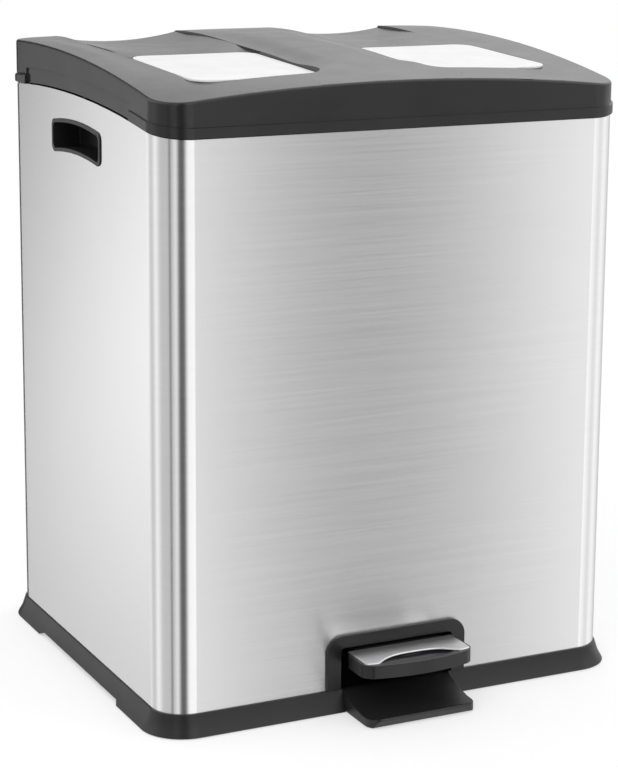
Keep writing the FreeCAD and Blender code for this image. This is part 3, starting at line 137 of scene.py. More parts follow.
class BinSizes(bpy.types.PropertyGroup):
    """Lengths of the rounded edges and of the relief on the lid and the pedal."""

    fine_edge: bpy.props.FloatProperty(
        name="Fine edge", description="Radius of the small moulded edges",
        default=0.5 * MILLIMETRE, min=0.0, unit="LENGTH")
    lid_edge: bpy.props.FloatProperty(
        name="Lid edge", description="Radius of the lid's upper edge",
        default=2.4 * MILLIMETRE, min=0.0, unit="LENGTH")
    crest_edge: bpy.props.FloatProperty(
        name="Crest edge", description="Radius of the crests beside the lid's scoops",
        default=0.4 * MILLIMETRE, min=0.0, unit="LENGTH")
    inlay_corner: bpy.props.FloatProperty(
        name="Inlay's corner", description="Radius of the back corners of the white inlays",
        default=14 * MILLIMETRE, min=0.0, unit="LENGTH")
    inlay_stand: bpy.props.FloatProperty(
        name="Inlay's stand", description="How far the white stands above its seat",
        default=0.3 * MILLIMETRE, min=0.0, unit="LENGTH")
    pedal_edge: bpy.props.FloatProperty(
        name="Pedal's edge", description="Radius of the edges of the pedal",
        default=1.2 * MILLIMETRE, min=0.0, unit="LENGTH")
    bite_depth: bpy.props.FloatProperty(
        name="Bite", description="Depth of the bite in the front of the pedal's steel plate",
        default=17 * MILLIMETRE, min=0.0, unit="LENGTH")
    bite_half: bpy.props.FloatProperty(
        name="Half bite", description="Half the width of that bite",
        default=38 * MILLIMETRE, min=0.001, unit="LENGTH")
    bite_ease: bpy.props.FloatProperty(
        name="Bite's shoulders", description="How softly the bite runs out into the plate's front",
        default=3.5 * MILLIMETRE, min=0.0, unit="LENGTH")
    plate_edge: bpy.props.FloatProperty(
        name="Plate's edge", description="Radius of the polished edge of the steel plate",
        default=0.8 * MILLIMETRE, min=0.0, unit="LENGTH")
    lip_width: bpy.props.FloatProperty(
        name="Lip", description="Width of the pedal's front lip before its dish",
        default=3.5 * MILLIMETRE, min=0.0, unit="LENGTH")
    pedal_bow: bpy.props.FloatProperty(
        name="Pedal's bow", description="How far the ends of the pedal's front stand behind its middle",
        default=8 * MILLIMETRE, min=0.0, unit="LENGTH")
    dish_depth: bpy.props.FloatProperty(
        name="Dish", description="Depth of the dish between that lip and the steel plate",
        default=2.2 * MILLIMETRE, min=0.0, unit="LENGTH")
    spine_fall: bpy.props.FloatProperty(
        name="Spine's fall", description="How far the lid's middle sinks towards the scoops",
        default=4.5 * MILLIMETRE, min=0.0, unit="LENGTH")
    spine_reach: bpy.props.FloatProperty(
        name="Spine's slope", description="Width over which the middle sinks",
        default=31 * MILLIMETRE, min=0.001, unit="LENGTH")
    border_reach: bpy.props.FloatProperty(
        name="Border's slope", description="Width over which the sides sink",
        default=32 * MILLIMETRE, min=0.001, unit="LENGTH")
    floor_rise: bpy.props.FloatProperty(
        name="Floor's rise", description="How far a scoop's floor rises to its crests behind the inlay",
        default=3 * MILLIMETRE, min=0.0, unit="LENGTH")
    floor_reach: bpy.props.FloatProperty(
        name="Floor's slope", description="Width over which the floor rises",
        default=45 * MILLIMETRE, min=0.001, unit="LENGTH")
    crest_low: bpy.props.FloatProperty(
        name="Lowest crest", description="How far the crests start above the lid's front edge",
        default=19 * MILLIMETRE, min=0.0, unit="LENGTH")


def colour(name, description, default):
    return bpy.props.FloatVectorProperty(
        name=name, description=description, subtype="COLOR", size=3, min=0.0, max=1.0, default=default)


class BinColours(bpy.types.PropertyGroup):
    """Colours of the finishes."""

    steel: colour("Steel", "Brushed steel of the body", (0.95, 0.95, 0.95))
    pedal_steel: colour("Pedal steel", "Brushed steel of the pedal's plate", (0.72, 0.72, 0.73))
    lid: colour("Lid", "Satin plastic of the lid", (0.012, 0.012, 0.0125))
    base: colour("Base", "Matt plastic of the base, the frame and the handles", (0.010, 0.010, 0.011))
    toe: colour("Toe plate", "Glossy plastic of the toe plate", (0.016, 0.016, 0.0165))
    inner: colour("Inner parts", "Plastic of the collar, the liner and the deck", (0.045, 0.045, 0.048))
    bucket: colour("Buckets", "Plastic of the inner buckets", (0.09, 0.093, 0.097))
    inlay: colour("Inlays", "White inlays in the lid", (0.80, 0.80, 0.80))
    rubber: colour("Rubber", "Feet and lid stops", (0.02, 0.02, 0.02))
    nylon: colour("Nylon", "Bushes of the pedal axle", (0.62, 0.61, 0.56))
    plated: colour("Plated steel", "Pins, screws, clips and brackets", (0.58, 0.58, 0.60))


class BinStudio(bpy.types.PropertyGroup):
    """Camera and light."""

    eye: bpy.props.FloatVectorProperty(
        name="Eye", description="Where the camera stands", size=3, subtype="TRANSLATION", unit="LENGTH",
        default=(-0.87554, -1.78111, 0.72289))
    yaw: bpy.props.FloatProperty(
        name="Yaw", description="Camera's turn to the right of +Y", subtype="ANGLE", default=0.45403)
    pitch: bpy.props.FloatProperty(
        name="Pitch", description="Camera's tilt below the horizon", subtype="ANGLE", default=0.20205)
    roll: bpy.props.FloatProperty(
        name="Roll", description="Camera's turn about its own axis", subtype="ANGLE", default=0.00652)
    focal: bpy.props.FloatProperty(
        name="Focal length", description="Focal length for a 36 mm long side", default=105.59, min=1.0)
    shift: bpy.props.FloatProperty(
        name="Shift", description="Vertical shift of the lens, as a share of the long side", default=-0.1)
    sky: bpy.props.FloatProperty(
        name="Sky", description="Strength of the even light from all sides", default=1.0, min=0.0)
    key: bpy.props.FloatProperty(
        name="Key", description="Power of the large soft lamp, in watts", default=12.0, min=0.0)


class Wire:
    """A shader socket that can stand in sums, differences and products."""

    def __init__(self, finish, socket):
        self.finish = finish
        self.socket = socket

    def maths(self, operation, first, second):
        return self.finish.node("ShaderNodeMath", {"operation": operation}, {0: first, 1: second})

    def __add__(self, other):
        return self.maths("ADD", self, other)

    def __sub__(self, other):
        return self.maths("SUBTRACT", self, other)

    def __rsub__(self, other):
        return self.maths("SUBTRACT", other, self)

    def __mul__(self, other):
        return self.maths("MULTIPLY", self, other)

    __radd__ = __add__
    __rmul__ = __mul__


class Finish:
    """A material or a world whose nodes are being laid out."""

    def __init__(self, owner):
        self.owner = owner
        owner.use_nodes = True
        self.tree = owner.node_tree
        self.tree.nodes.clear()

    def node(self, kind, settings=None, inputs=None, output=0):
        """Adds a node, sets it up, feeds its sockets and returns one of its outputs."""
        made = self.tree.nodes.new(kind)
        for name, value in (settings or {}).items():
            setattr(made, name, value)
        for name, value in (inputs or {}).items():
            if isinstance(value, Wire):
                self.tree.links.new(value.socket, made.inputs[name])
            else:
                made.inputs[name].default_value = value
        return Wire(self, made.outputs[output]) if made.outputs else None

    def place(self, stretch=(1.0, 1.0, 1.0)):
        """The point on the piece, stretched along its axes."""
        here = self.node("ShaderNodeTexCoord", output="Object")
        return self.node("ShaderNodeMapping", {"vector_type": "POINT"}, {"Vector": here, "Scale": stretch})

    def noise(self, size, detail=2.0, stretch=(1.0, 1.0, 1.0)):
        """Noise from 0 to 1 with features of a size in metres."""
        inputs = {"Vector": self.place(stretch), "Scale": 1.0 / size, "Detail": detail}
        return self.node("ShaderNodeTexNoise", {"noise_dimensions": "3D"}, inputs)

    def tint(self, base, change):
        """A colour made lighter or darker by a factor that varies about 1."""
        grey = self.node("ShaderNodeCombineColor", None, {0: change, 1: change, 2: change})
        settings = {"data_type": "RGBA", "blend_type": "MULTIPLY"}
        factor, first, second, result = 0, 6, 7, 2
        inputs = {factor: 1.0, first: (*base, 1.0), second: grey}
        return self.node("ShaderNodeMix", settings, inputs, output=result)

    def smooth(self, value, low, high, first=0.0, last=1.0):
        """Goes softly from first at low to last at high."""
        inputs = {"Value": value, "From Min": low, "From Max": high, "To Min": first, "To Max": last}
        return self.node("ShaderNodeMapRange", {"interpolation_type": "SMOOTHSTEP"}, inputs)

    def bump(self, height, distance, strength=1.0):
        inputs = {"Height": height, "Distance": distance, "Strength": strength}
        return self.node("ShaderNodeBump", None, inputs)

    def surface(self, **inputs):
        """The Principled shader, wired to the output. Underscores in names stand for spaces."""
        sockets = {name.replace("_", " "): value for name, value in inputs.items()}
        shader = self.node("ShaderNodeBsdfPrincipled", None, sockets)
        self.node("ShaderNodeOutputMaterial", None, {"Surface": shader})
        return self.owner


def brushed_steel(name, base, stretch, roughness, anisotropic):
    """Satin steel with fine brushing; stretch is short across the grain and long along it."""
    finish = Finish(bpy.data.materials.new(name))
    grain = finish.noise(1.0, 3.0, stretch)
    cloud = finish.noise(0.05, 2.0)
    shade = 0.955 + grain * 0.06 + cloud * 0.025
    return finish.surface(
        Base_Color=finish.tint(base, shade), Metallic=1.0, Roughness=roughness + (grain - 0.5) * 0.04,
        Anisotropic=anisotropic, Anisotropic_Rotation=0.25, Normal=finish.bump(grain, 0.0000005, 0.5))


def moulded_plastic(name, base, roughness, grain_size, grain_depth):
    """Plastic with a fine moulded grain and faint clouds in its sheen."""
    finish = Finish(bpy.data.materials.new(name))
    grain = finish.noise(grain_size, 2.0)
    cloud = finish.noise(0.03, 3.0)
    streak = finish.noise(0.012, 2.0, (0.25, 1.0, 1.0))
    shade = 0.86 + cloud * 0.18 + streak * 0.1
    return finish.surface(
        Base_Color=finish.tint(base, shade),
        Roughness=roughness + (cloud - 0.5) * 0.12 + (grain - 0.5) * 0.06,
        Normal=finish.bump(grain, grain_depth))


def plated_steel(name, base):
    """Zinc plated steel of the hidden hardware, with faint crystals."""
    finish = Finish(bpy.data.materials.new(name))
    inputs = {"Vector": finish.place(), "Scale": 900.0}
    cells = finish.node("ShaderNodeTexVoronoi", {"feature": "F1"}, inputs, output="Color")
    spread = finish.node("ShaderNodeSeparateColor", None, {0: cells})
    return finish.surface(
        Base_Color=finish.tint(base, 0.85 + spread * 0.2), Metallic=1.0, Roughness=0.3 + spread * 0.12)


# Each slot's maker, its colour's name and the maker's own numbers, in the order of its arguments.
FINISHES = {
    "steel_body": (brushed_steel, "steel", (9.0, 9.0, 560.0), 0.25, 0.85),
    "pedal_steel": (brushed_steel, "pedal_steel", (12.0, 1600.0, 1600.0), 0.3, 0.0),
    "base_plastic": (moulded_plastic, "base", 0.34, 0.0007, 0.000003),
    "toe_plastic": (moulded_plastic, "toe", 0.4, 0.004, 0.000004),
    "inner_plastic": (moulded_plastic, "inner", 0.5, 0.001, 0.00002),
    "bucket_plastic": (moulded_plastic, "bucket", 0.45, 0.001, 0.00002),
    "lid_plastic": (moulded_plastic, "lid", 0.24, 0.0008, 0.000002),
    "white_inlay": (moulded_plastic, "inlay", 0.35, 0.002, 0.00001),
    "rubber": (moulded_plastic, "rubber", 0.8, 0.0006, 0.00004),
    "nylon": (moulded_plastic, "nylon", 0.4, 0.002, 0.00001),
    "plated_steel": (plated_steel, "plated"),
}
SLOTS = {part["node"]: part["material_slot"] for part in frame["record"]["subparts"]}


def finish_for(slot):
    """The material of a slot, made when it is first asked for."""
    name = slot + "_finish"
    found = bpy.data.materials.get(name)
    if found:
        return found
    make, shade, *settings = FINISHES[slot]
    return make(name, getattr(bpy.context.scene.bin_colours, shade), *settings)


def dress(*nodes):
    """Gives CAD nodes their finish."""
    for node in nodes:
        slots = frame["nodes"][node].data.materials
        slots.clear()
        slots.append(finish_for(SLOTS[node]))


def copy_of(node):
    """A CAD node's mesh with its triangles joined and its flat faces made whole."""
    shape = bmesh.new()
    shape.from_mesh(frame["nodes"][node].data)
    bmesh.ops.remove_doubles(shape, verts=shape.verts, dist=WELD)
    bmesh.ops.dissolve_limit(
        shape, angle_limit=math.radians(0.05), verts=shape.verts, edges=shape.edges)
    return shape


def soften(shape, width, segments, least, wanted=None):
    """Rounds the edges that turn by more than a number of degrees."""
    edges = [edge for edge in shape.edges if edge.is_manifold
             and edge.calc_face_angle() > math.radians(least) and (wanted is None or wanted(edge))]
    bmesh.ops.bevel(
        shape, geom=edges, offset=width, offset_type="OFFSET", segments=segments, profile=0.5,
        affect="EDGES", material=-1)


def piece(name, shape, body, slot, *nodes):
    """Makes an object of a shape. It rides on a body and stands for CAD nodes."""
    for face in shape.faces:
        face.smooth = True
    for edge in shape.edges:
        edge.smooth = not edge.is_manifold or edge.calc_face_angle() < math.radians(CREASE)
    mesh = bpy.data.meshes.new(name)
    shape.to_mesh(mesh)
    shape.free()
    made = bpy.data.objects.new(name, mesh)
    bpy.context.scene.collection.objects.link(made)
    mesh.materials.append(finish_for(slot))
    weights = made.modifiers.new("Weighted normals", "WEIGHTED_NORMAL")
    weights.keep_sharp = True
    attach(made, body)
    if nodes:
        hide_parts(*nodes)


def ease(value, low, high):
    """Goes softly from 0 at low to 1 at high."""
    share = min(max((value - low) / (high - low), 0.0), 1.0)
    return share * share * (3.0 - 2.0 * share)


def crown(x, y):
    """Height of the lid's upper face, from the arcs along its sides and its middle."""
    side, middle = (top - radius + math.sqrt(radius ** 2 - (y - place) ** 2)
                    for top, place, radius in (SIDE_ARC, MIDDLE_ARC))
    return middle - (middle - side) * (x / HALF_WIDTH) ** 2


def inlay_depth(y):
    """How far the outer edge of an inlay lies below the lid's upper face."""
    return max(crown(SCOOP_OUTER, y) - INLAY_HEIGHT + INLAY_SLOPE * (INLAY_BACK - y), 0.0)


def slice_up(shape, axis, places, low):
    """Cuts the faces above a height along planes across an axis."""
    normal = Vector((axis == 0, axis == 1, 0.0))
    for place in places:
        faces = [face for face in shape.faces if face.calc_center_median().z > low]
        edges = {edge for face in faces for edge in face.edges}
        verts = {vert for face in faces for vert in face.verts}
        bmesh.ops.bisect_plane(
            shape, geom=[*verts, *edges, *faces], dist=WELD,
            plane_co=normal * place, plane_no=normal)


def sink_to_scoops(shape, sizes):
    """Lets the lid's face sink softly to its scoops, and lets their floors rise to meet it."""
    low = crown(0.0, 0.0) - SCOOP_LAYER
    reach = sizes.floor_reach
    floor = [reach * (step / SIDE_CUTS) ** 1.5 for step in range(1, SIDE_CUTS + 1)]
    inner = [SCOOP_INNER - sizes.spine_reach * step / SPINE_CUTS for step in range(1, SPINE_CUTS + 1)]
    inner += [SCOOP_INNER + place for place in floor]
    outer = [SCOOP_OUTER + sizes.border_reach * step / SIDE_CUTS for step in range(1, SIDE_CUTS + 1)]
    outer += [SCOOP_OUTER - place for place in floor]
    slice_up(shape, 0, [side * place for side in (-1, 1) for place in inner + outer], low)
    slice_up(shape, 1, [INLAY_BACK + (0.5 + step) * ROW_PITCH * MILLIMETRE for step in ROWS], low)
    for vert in shape.verts:
        x, y, z = abs(vert.co.x), vert.co.y, vert.co.z
        depth = crown(x, y) - z
        if z < low or y > CAD_BOX[1].y - BACK_STRIP:
            continue
        if depth < FACE_LAYER and x < SCOOP_INNER + MILLIMETRE:
            side = ease(x, SCOOP_INNER - sizes.spine_reach, SCOOP_INNER)
            vert.co.z -= sizes.spine_fall * side * ease(y, *SPINE_START) * (1 - ease(y, *SPINE_END))
        elif depth < FACE_LAYER and x > SCOOP_OUTER - MILLIMETRE:
            side = 1 - ease(x, SCOOP_OUTER, SCOOP_OUTER + sizes.border_reach)
            vert.co.z -= inlay_depth(min(y, INLAY_BACK)) * side * (1 - ease(y, *BORDER_END))
        elif SCOOP_INNER - MILLIMETRE < x < SCOOP_OUTER + MILLIMETRE and y > INLAY_BACK:
            along = ease(y, *FLOOR_START) * (1 - ease(y, *FLOOR_END))
            from_inner = min(max((x - SCOOP_INNER) / reach, 0.0), 1.0)
            from_outer = min(max((SCOOP_OUTER - x) / reach, 0.0), 1.0)
            rise = sizes.floor_rise * ((1 - from_inner) ** 2 + 0.5 * (1 - from_outer) ** 2)
            vert.co.z += rise * along


def softened(name, node, body, width):
    """Makes a copy of a CAD node with rounded edges, which stands for the node."""
    shape = copy_of(node)
    soften(shape, width, segments=3, least=40.0)
    piece(name, shape, body, SLOTS[node], node)


def middle_of(edge):
    return (edge.verts[0].co + edge.verts[1].co) / 2


def faces_up(edge):
    return max(face.normal.z for face in edge.link_faces) > UPWARD


def longer_than(length):
    return lambda edge: edge.calc_length() > length


def at_rim(node, depth):
    """Tells whether an edge lies within a depth of the sides of a node's box."""
    low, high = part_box(node)

    def test(edge):
        x, y, z = middle_of(edge)
        return min(x - low[0], high[0] - x, y - low[1], high[1] - y) < depth
    return test


class BIN_OT_lid(bpy.types.Operator):
    """Makes the lid with its rounded upper edge and scoops"""

    bl_idname = "bin.lid"
    bl_label = "Lid"

    def execute(self, context):
        sizes = context.scene.bin_sizes
        side = at_rim("lid_shell", RIM_DEPTH)
        corner = at_rim("lid_shell", CORNER_DEPTH)

        def rim(edge):
            return side(edge) or (abs(middle_of(edge).x) > LID_CORNER and corner(edge))
        shape = copy_of("lid_shell")
        sink_to_scoops(shape, sizes)
        soften(shape, sizes.lid_edge, segments=4, least=30.0, wanted=lambda edge: (
            edge.is_convex and rim(edge) and faces_up(edge) and middle_of(edge).z > BAND_TOP))
        crests = BAND_TOP + sizes.crest_low
        soften(shape, sizes.crest_edge, segments=4, least=12.0, wanted=lambda edge: (
            edge.is_convex and not rim(edge) and faces_up(edge) and middle_of(edge).z > crests
            and edge.calc_length() > MILLIMETRE))
        soften(shape, sizes.fine_edge, segments=2, least=40.0, wanted=lambda edge: (
            rim(edge) and edge.calc_length() > MILLIMETRE))
        piece("lid", shape, "lid", SLOTS["lid_shell"], "lid_shell")
        return {"FINISHED"}


class BIN_OT_inlays(bpy.types.Operator):
    """Makes the two white inlays in the lid and the dark seats under them"""

    bl_idname = "bin.inlays"
    bl_label = "Inlays"

    def execute(self, context):
        sizes = context.scene.bin_sizes
        for side in ("left", "right"):
            node = "inlay_" + side
            seat = copy_of(node)
            upper = [vert for vert in seat.verts if max(face.normal.z for face in vert.link_faces) > UPWARD]
            bmesh.ops.translate(seat, verts=upper, vec=(0.0, 0.0, -sizes.inlay_stand))
            low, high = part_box(node)
            bmesh.ops.scale(
                seat, verts=seat.verts, vec=(SEAT_SHARE, SEAT_SHARE, 1.0),
                space=Matrix.Translation(-(Vector(low) + Vector(high)) / 2))
            piece("inlay_seat_" + side, seat, "lid", "lid_plastic")
            shape = copy_of(node)
            back = INLAY_BACK - 2 * MILLIMETRE
            soften(shape, sizes.inlay_corner, segments=8, least=60.0, wanted=lambda edge: (
                min(vert.co.y for vert in edge.verts) > back and not faces_up(edge)
                and abs(edge.verts[0].co.z - edge.verts[1].co.z) > MILLIMETRE))
            soften(shape, sizes.fine_edge, segments=3, least=60.0, wanted=longer_than(0.1 * MILLIMETRE))
            piece("inlay_white_" + side, shape, "lid", SLOTS[node], node)
        return {"FINISHED"}


class BIN_OT_body(bpy.types.Operator):
    """Gives the steel body its brushed finish"""

    bl_idname = "bin.body"
    bl_label = "Steel body"

    def execute(self, context):
        dress("outer_shell")
        return {"FINISHED"}


class BIN_OT_base(bpy.types.Operator):
    """Makes the base with its softened edges and the feet"""

    bl_idname = "bin.base"
    bl_label = "Base"

    def execute(self, context):
        edge = context.scene.bin_sizes.fine_edge
        softened("base", "base_plinth", "body", edge)
        dress("rubber_feet")
        return {"FINISHED"}


class BIN_OT_frame(bpy.types.Operator):
    """Makes the frame round the pedal and the toe plate below it"""

    bl_idname = "bin.frame"
    bl_label = "Pedal frame"

    def execute(self, context):
        edge = context.scene.bin_sizes.fine_edge
        softened("frame_of_pedal", "pedal_bezel", "body", edge)
        softened("toe_dish", "toe_plate", "body", edge)
        return {"FINISHED"}


def bend_front(shape, sizes):
    """Bends the pedal's front into an arc, its ends back and its middle forward."""
    low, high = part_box("pedal_body")
    for vert in shape.verts:
        share = ease(-vert.co.y, -low[1] - BEND_REACH, -low[1])
        vert.co.y += share * sizes.pedal_bow * ((vert.co.x / high[0]) ** 2 - BEND_STILL)


def bite(x, sizes):
    """How far the front of the steel plate stands back at x."""
    arc = sizes.bite_depth * (1.0 - abs(x / sizes.bite_half) ** 3)
    return (arc + math.hypot(arc, sizes.bite_ease)) / 2


def steel_plate(sizes):
    """The pedal's steel plate: a grid drawn back along the bite, thickened, with rounded corners."""
    low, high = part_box("pedal_plate")
    half = (high[0] - low[0]) / 2
    deep = high[1] - low[1]
    shape = bmesh.new()
    bmesh.ops.create_grid(shape, x_segments=60, y_segments=12, size=1.0)
    for vert in shape.verts:
        x = vert.co.x * half
        from_front = (vert.co.y + 1.0) / 2
        shoulder = bite(x, sizes) - bite(half, sizes)
        vert.co = (x, low[1] + shoulder + (deep - shoulder) * from_front, low[2])
    corners = [vert for vert in shape.verts if len(vert.link_edges) == 2]
    front = [vert for vert in corners if vert.co.y < (low[1] + high[1]) / 2]
    bmesh.ops.bevel(
        shape, geom=front, offset=PLATE_CORNER, offset_type="OFFSET", segments=5, profile=0.5,
        affect="VERTICES", material=-1)
    grown = bmesh.ops.extrude_face_region(shape, geom=shape.faces[:])["geom"]
    lifted = [part for part in grown if isinstance(part, bmesh.types.BMVert)]
    bmesh.ops.translate(shape, verts=lifted, vec=(0.0, 0.0, high[2] - low[2]))
    bmesh.ops.recalc_face_normals(shape, faces=shape.faces)
    soften(shape, sizes.plate_edge, segments=3, least=60.0, wanted=faces_up)
    bend_front(shape, sizes)
    return shape


def dish_pedal(shape, sizes):
    """Hollows the pedal's upper face between its front lip and the steel plate."""
    low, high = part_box("pedal_body")
    front = low[1] + sizes.lip_width
    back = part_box("pedal_plate")[0][1] + MILLIMETRE
    slice_up(shape, 0, [step * DISH_COLUMN * MILLIMETRE for step in range(-15, 16)], 0.0)
    slice_up(shape, 1, [front + step * MILLIMETRE for step in range(DISH_ROWS)], high[2] - 0.5 * MILLIMETRE)
    for vert in shape.verts:
        x, y, z = vert.co
        reach = 1.0 - (x / sizes.bite_half) ** 2
        if z < high[2] - 0.05 * MILLIMETRE or reach < 0.0 or y > back + bite(x, sizes):
            continue
        start = front + 2 * MILLIMETRE * (x / sizes.bite_half) ** 2
        vert.co.z -= sizes.dish_depth * math.sqrt(reach) * ease(y, start, start + DISH_RAMP)
    bend_front(shape, sizes)


class BIN_OT_pedal(bpy.types.Operator):
    """Makes the pedal and its steel plate"""

    bl_idname = "bin.pedal"
    bl_label = "Pedal"

    def execute(self, context):
        sizes = context.scene.bin_sizes
        body = copy_of("pedal_body")
        rim = at_rim("pedal_body", 4 * MILLIMETRE)
        soften(body, sizes.pedal_edge, segments=4, least=40.0, wanted=lambda edge: (
            edge.is_convex and rim(edge) and edge.calc_length() > MILLIMETRE))
        dish_pedal(body, sizes)
        piece("pedal", body, "pedal", SLOTS["pedal_body"], "pedal_body")
        piece("pedal_top", steel_plate(sizes), "pedal", SLOTS["pedal_plate"], "pedal_plate")
        return {"FINISHED"}


class BIN_OT_handles(bpy.types.Operator):
    """Makes the two recessed handles"""

    bl_idname = "bin.handles"
    bl_label = "Handles"

    def execute(self, context):
        edge = context.scene.bin_sizes.fine_edge
        softened("handle_left", "handle_cup_left", "body", edge)
        softened("handle_right", "handle_cup_right", "body", edge)
        return {"FINISHED"}


class BIN_OT_inner(bpy.types.Operator):
    """Gives the inner parts and the buckets their finish"""

    bl_idname = "bin.inner"
    bl_label = "Inner parts"

    def execute(self, context):
        dress("top_collar", "lid_liner", "bucket_deck", "rod_guides", "bucket_left", "bucket_right",
              "lid_buffers", "axle_bushes", "hinge_cover")
        return {"FINISHED"}


class BIN_OT_hardware(bpy.types.Operator):
    """Gives the hinge, the linkage and the screws their finish"""

    bl_idname = "bin.hardware"
    bl_label = "Hardware"

    def execute(self, context):
        dress(*(node for node, slot in SLOTS.items() if slot == "plated_steel"))
        return {"FINISHED"}


def place_camera(studio):
    camera = bpy.data.objects.new("camera", bpy.data.cameras.new("camera"))
    camera.data.sensor_fit = "AUTO"
    camera.data.sensor_width = SENSOR
    camera.data.lens = studio.focal
    camera.data.shift_y = studio.shift
    turn = Matrix.Rotation(-studio.yaw, 4, "Z") @ Matrix.Rotation(math.pi / 2 - studio.pitch, 4, "X")
    camera.matrix_world = Matrix.Translation(studio.eye) @ turn @ Matrix.Rotation(studio.roll, 4, "Z")
    bpy.context.scene.collection.objects.link(camera)
    bpy.context.scene.camera = camera


def lay_floor():
    """A plain white floor, which the steel's reflections don't show."""
    shape = bmesh.new()
    bmesh.ops.create_grid(shape, x_segments=1, y_segments=1, size=FLOOR_HALF)
    mesh = bpy.data.meshes.new("floor")
    shape.to_mesh(mesh)
    shape.free()
    floor = bpy.data.objects.new("floor", mesh)
    bpy.context.scene.collection.objects.link(floor)
    finish = Finish(bpy.data.materials.new("floor"))
    paint = finish.node("ShaderNodeBsdfDiffuse", None, {"Color": (1.0, 1.0, 1.0, 1.0)})
    clear = finish.node("ShaderNodeBsdfTransparent")
    glossy = finish.node("ShaderNodeLightPath", output="Is Glossy Ray")
    glow = finish.node("ShaderNodeEmission", None, {"Color": (1.0, 1.0, 1.0, 1.0), "Strength": 1.0})
    camera = finish.node("ShaderNodeLightPath", output="Is Camera Ray")
    seen = finish.node("ShaderNodeMixShader", None, {0: camera * FLOOR_GLOW, 1: paint, 2: glow})
    mixed = finish.node("ShaderNodeMixShader", None, {0: glossy, 1: seen, 2: clear})
    finish.node("ShaderNodeOutputMaterial", None, {"Surface": mixed})
    mesh.materials.append(finish.owner)


# Screens of the room that gloss reflects: the middle, half the width and half the soft edge in degrees
# round Z, how dark it is (a panel brighter than white is below 0), and its lowest and highest direction
# as the z of a unit vector. The degrees run from +Y, behind the bin, towards +X.
SCREENS = (
    (200.0, 13.0, 7.0, 0.9, -1.2, 1.2),
    (238.0, 3.0, 2.5, 0.8, -1.2, 1.2),
    (252.0, 30.0, 14.0, 0.45, -1.2, 1.2),
    (152.2, 3.0, 3.0, 0.92, -1.2, 1.2),
    (352.0, 11.0, 1.0, 0.9, -1.2, 1.2),
    (348.0, 8.0, 4.0, 0.3, -0.16, 1.2),
    (336.0, 9.0, 4.0, -0.32, -0.3, -0.14),
    (345.0, 14.0, 6.0, 0.3, -1.2, -0.3),
    (152.0, 6.0, 5.0, 0.14, -1.2, -0.24),
    (160.5, 4.5, 4.0, -0.16, -1.2, -0.14),
    (141.0, 6.0, 5.0, -0.1, -1.2, 0.0),
    (2.0, 20.0, 10.0, 0.35, 0.06, 1.2),
    (40.0, 34.0, 26.0, 0.45, -1.2, -0.02),
    (118.0, 12.0, 11.0, 0.25, -1.2, -0.02),
    (312.0, 13.0, 11.0, 0.45, -1.2, -0.02),
)
SCREEN_FADE = 0.08
# Heights where the walls turn into the ceiling, then the heights and levels between which it brightens.
HORIZON = (-0.04, 0.04)
CEILING = (0.1, 0.45, 0.72, 1.45)


def light_sky(studio):
    """White for the camera, even light for matt surfaces, and a room with dark screens for gloss."""
    world = bpy.data.worlds.new("sky")
    finish = Finish(world)
    way = finish.node("ShaderNodeTexCoord", output="Generated")
    east = finish.node("ShaderNodeSeparateXYZ", None, {"Vector": way}, "X")
    north = finish.node("ShaderNodeSeparateXYZ", None, {"Vector": way}, "Y")
    around = finish.node("ShaderNodeMath", {"operation": "ARCTAN2"}, {0: east, 1: north})
    height = finish.node("ShaderNodeSeparateXYZ", None, {"Vector": way}, "Z")
    above = finish.smooth(height, *HORIZON)
    level = 1 - above * (1 - finish.smooth(height, *CEILING))
    for middle, half, soft, depth, low, high in SCREENS:
        turn = around + (math.pi - math.radians(middle))
        turn = finish.node("ShaderNodeMath", {"operation": "FLOORED_MODULO"}, {0: turn, 1: 2.0 * math.pi})
        away = finish.node("ShaderNodeMath", {"operation": "ABSOLUTE"}, {0: turn - math.pi})
        inner, outer = math.radians(half - soft), math.radians(half + soft)
        shade = finish.smooth(away, inner, outer, depth, 0.0)
        over = finish.smooth(height, low - SCREEN_FADE, low + SCREEN_FADE)
        under = finish.smooth(height, high - SCREEN_FADE, high + SCREEN_FADE, 1.0, 0.0)
        level = level * (1 - shade * over * under)
    room = finish.node("ShaderNodeCombineColor", None, {0: level, 1: level, 2: level})
    gloss = finish.node("ShaderNodeBackground", None, {"Color": room, "Strength": 1.0})
    even = finish.node("ShaderNodeBackground", None, {"Color": (1.0, 1.0, 1.0, 1.0), "Strength": studio.sky})
    white = finish.node("ShaderNodeBackground", None, {"Color": (1.0, 1.0, 1.0, 1.0), "Strength": 1.0})
    is_glossy = finish.node("ShaderNodeLightPath", output="Is Glossy Ray")
    is_camera = finish.node("ShaderNodeLightPath", output="Is Camera Ray")
    indirect = finish.node("ShaderNodeMixShader", None, {0: is_glossy, 1: even, 2: gloss})
    mixed = finish.node("ShaderNodeMixShader", None, {0: is_camera, 1: indirect, 2: white})
    finish.node("ShaderNodeOutputWorld", None, {"Surface": mixed})
    bpy.context.scene.world = world


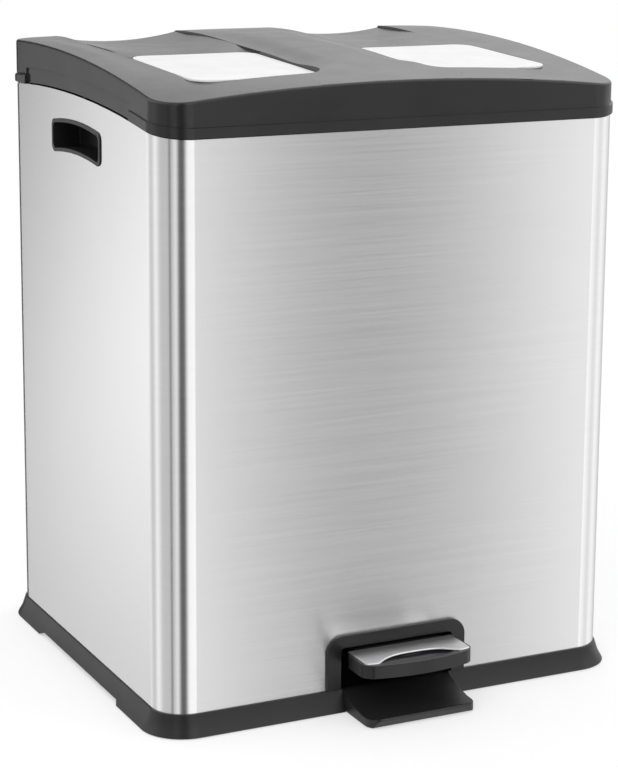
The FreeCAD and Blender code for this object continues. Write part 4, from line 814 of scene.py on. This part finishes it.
def hang_lamp(studio):
    lamp = bpy.data.objects.new("key", bpy.data.lights.new("key", "AREA"))
    lamp.data.shape = "SQUARE"
    lamp.data.size = LAMP_SIZE
    lamp.data.energy = studio.key
    lamp.location = LAMP_PLACE
    lamp.rotation_euler = (Vector(LAMP_TARGET) - lamp.location).to_track_quat("-Z", "Y").to_euler()
    lamp.visible_glossy = False
    bpy.context.scene.collection.objects.link(lamp)


class BIN_OT_studio(bpy.types.Operator):
    """Places the camera, the floor, the sky and the lamp"""

    bl_idname = "bin.studio"
    bl_label = "Studio"

    def execute(self, context):
        studio = context.scene.bin_studio
        place_camera(studio)
        lay_floor()
        light_sky(studio)
        hang_lamp(studio)
        context.scene.view_settings.view_transform = "Standard"
        return {"FINISHED"}


STEPS = (
    BIN_OT_lid, BIN_OT_inlays, BIN_OT_body, BIN_OT_base, BIN_OT_frame, BIN_OT_pedal, BIN_OT_handles,
    BIN_OT_inner, BIN_OT_hardware, BIN_OT_studio,
)


class BIN_PT_sidebar(bpy.types.Panel):
    """Lists the steps of the bin and what they read"""

    bl_idname = "BIN_PT_sidebar"
    bl_label = "Double Recycling Bin"
    bl_space_type = "VIEW_3D"
    bl_region_type = "UI"
    bl_category = "Bin"

    def draw(self, context):
        for step in STEPS:
            self.layout.operator(step.bl_idname)
        for group in (context.scene.bin_sizes, context.scene.bin_colours, context.scene.bin_studio):
            for name in group.bl_rna.properties.keys():
                if name in group.__annotations__:
                    self.layout.prop(group, name)


CLASSES = (BinSizes, BinColours, BinStudio, *STEPS, BIN_PT_sidebar)


def register():
    for made in CLASSES:
        bpy.utils.register_class(made)
    bpy.types.Scene.bin_sizes = bpy.props.PointerProperty(type=BinSizes)
    bpy.types.Scene.bin_colours = bpy.props.PointerProperty(type=BinColours)
    bpy.types.Scene.bin_studio = bpy.props.PointerProperty(type=BinStudio)


def unregister():
    del bpy.types.Scene.bin_studio
    del bpy.types.Scene.bin_colours
    del bpy.types.Scene.bin_sizes
    for made in reversed(CLASSES):
        bpy.utils.unregister_class(made)


def main():
    register()
    for step in STEPS:
        group, name = step.bl_idname.split(".")
        getattr(getattr(bpy.ops, group), name)()


if __name__ == "__main__":
    main()
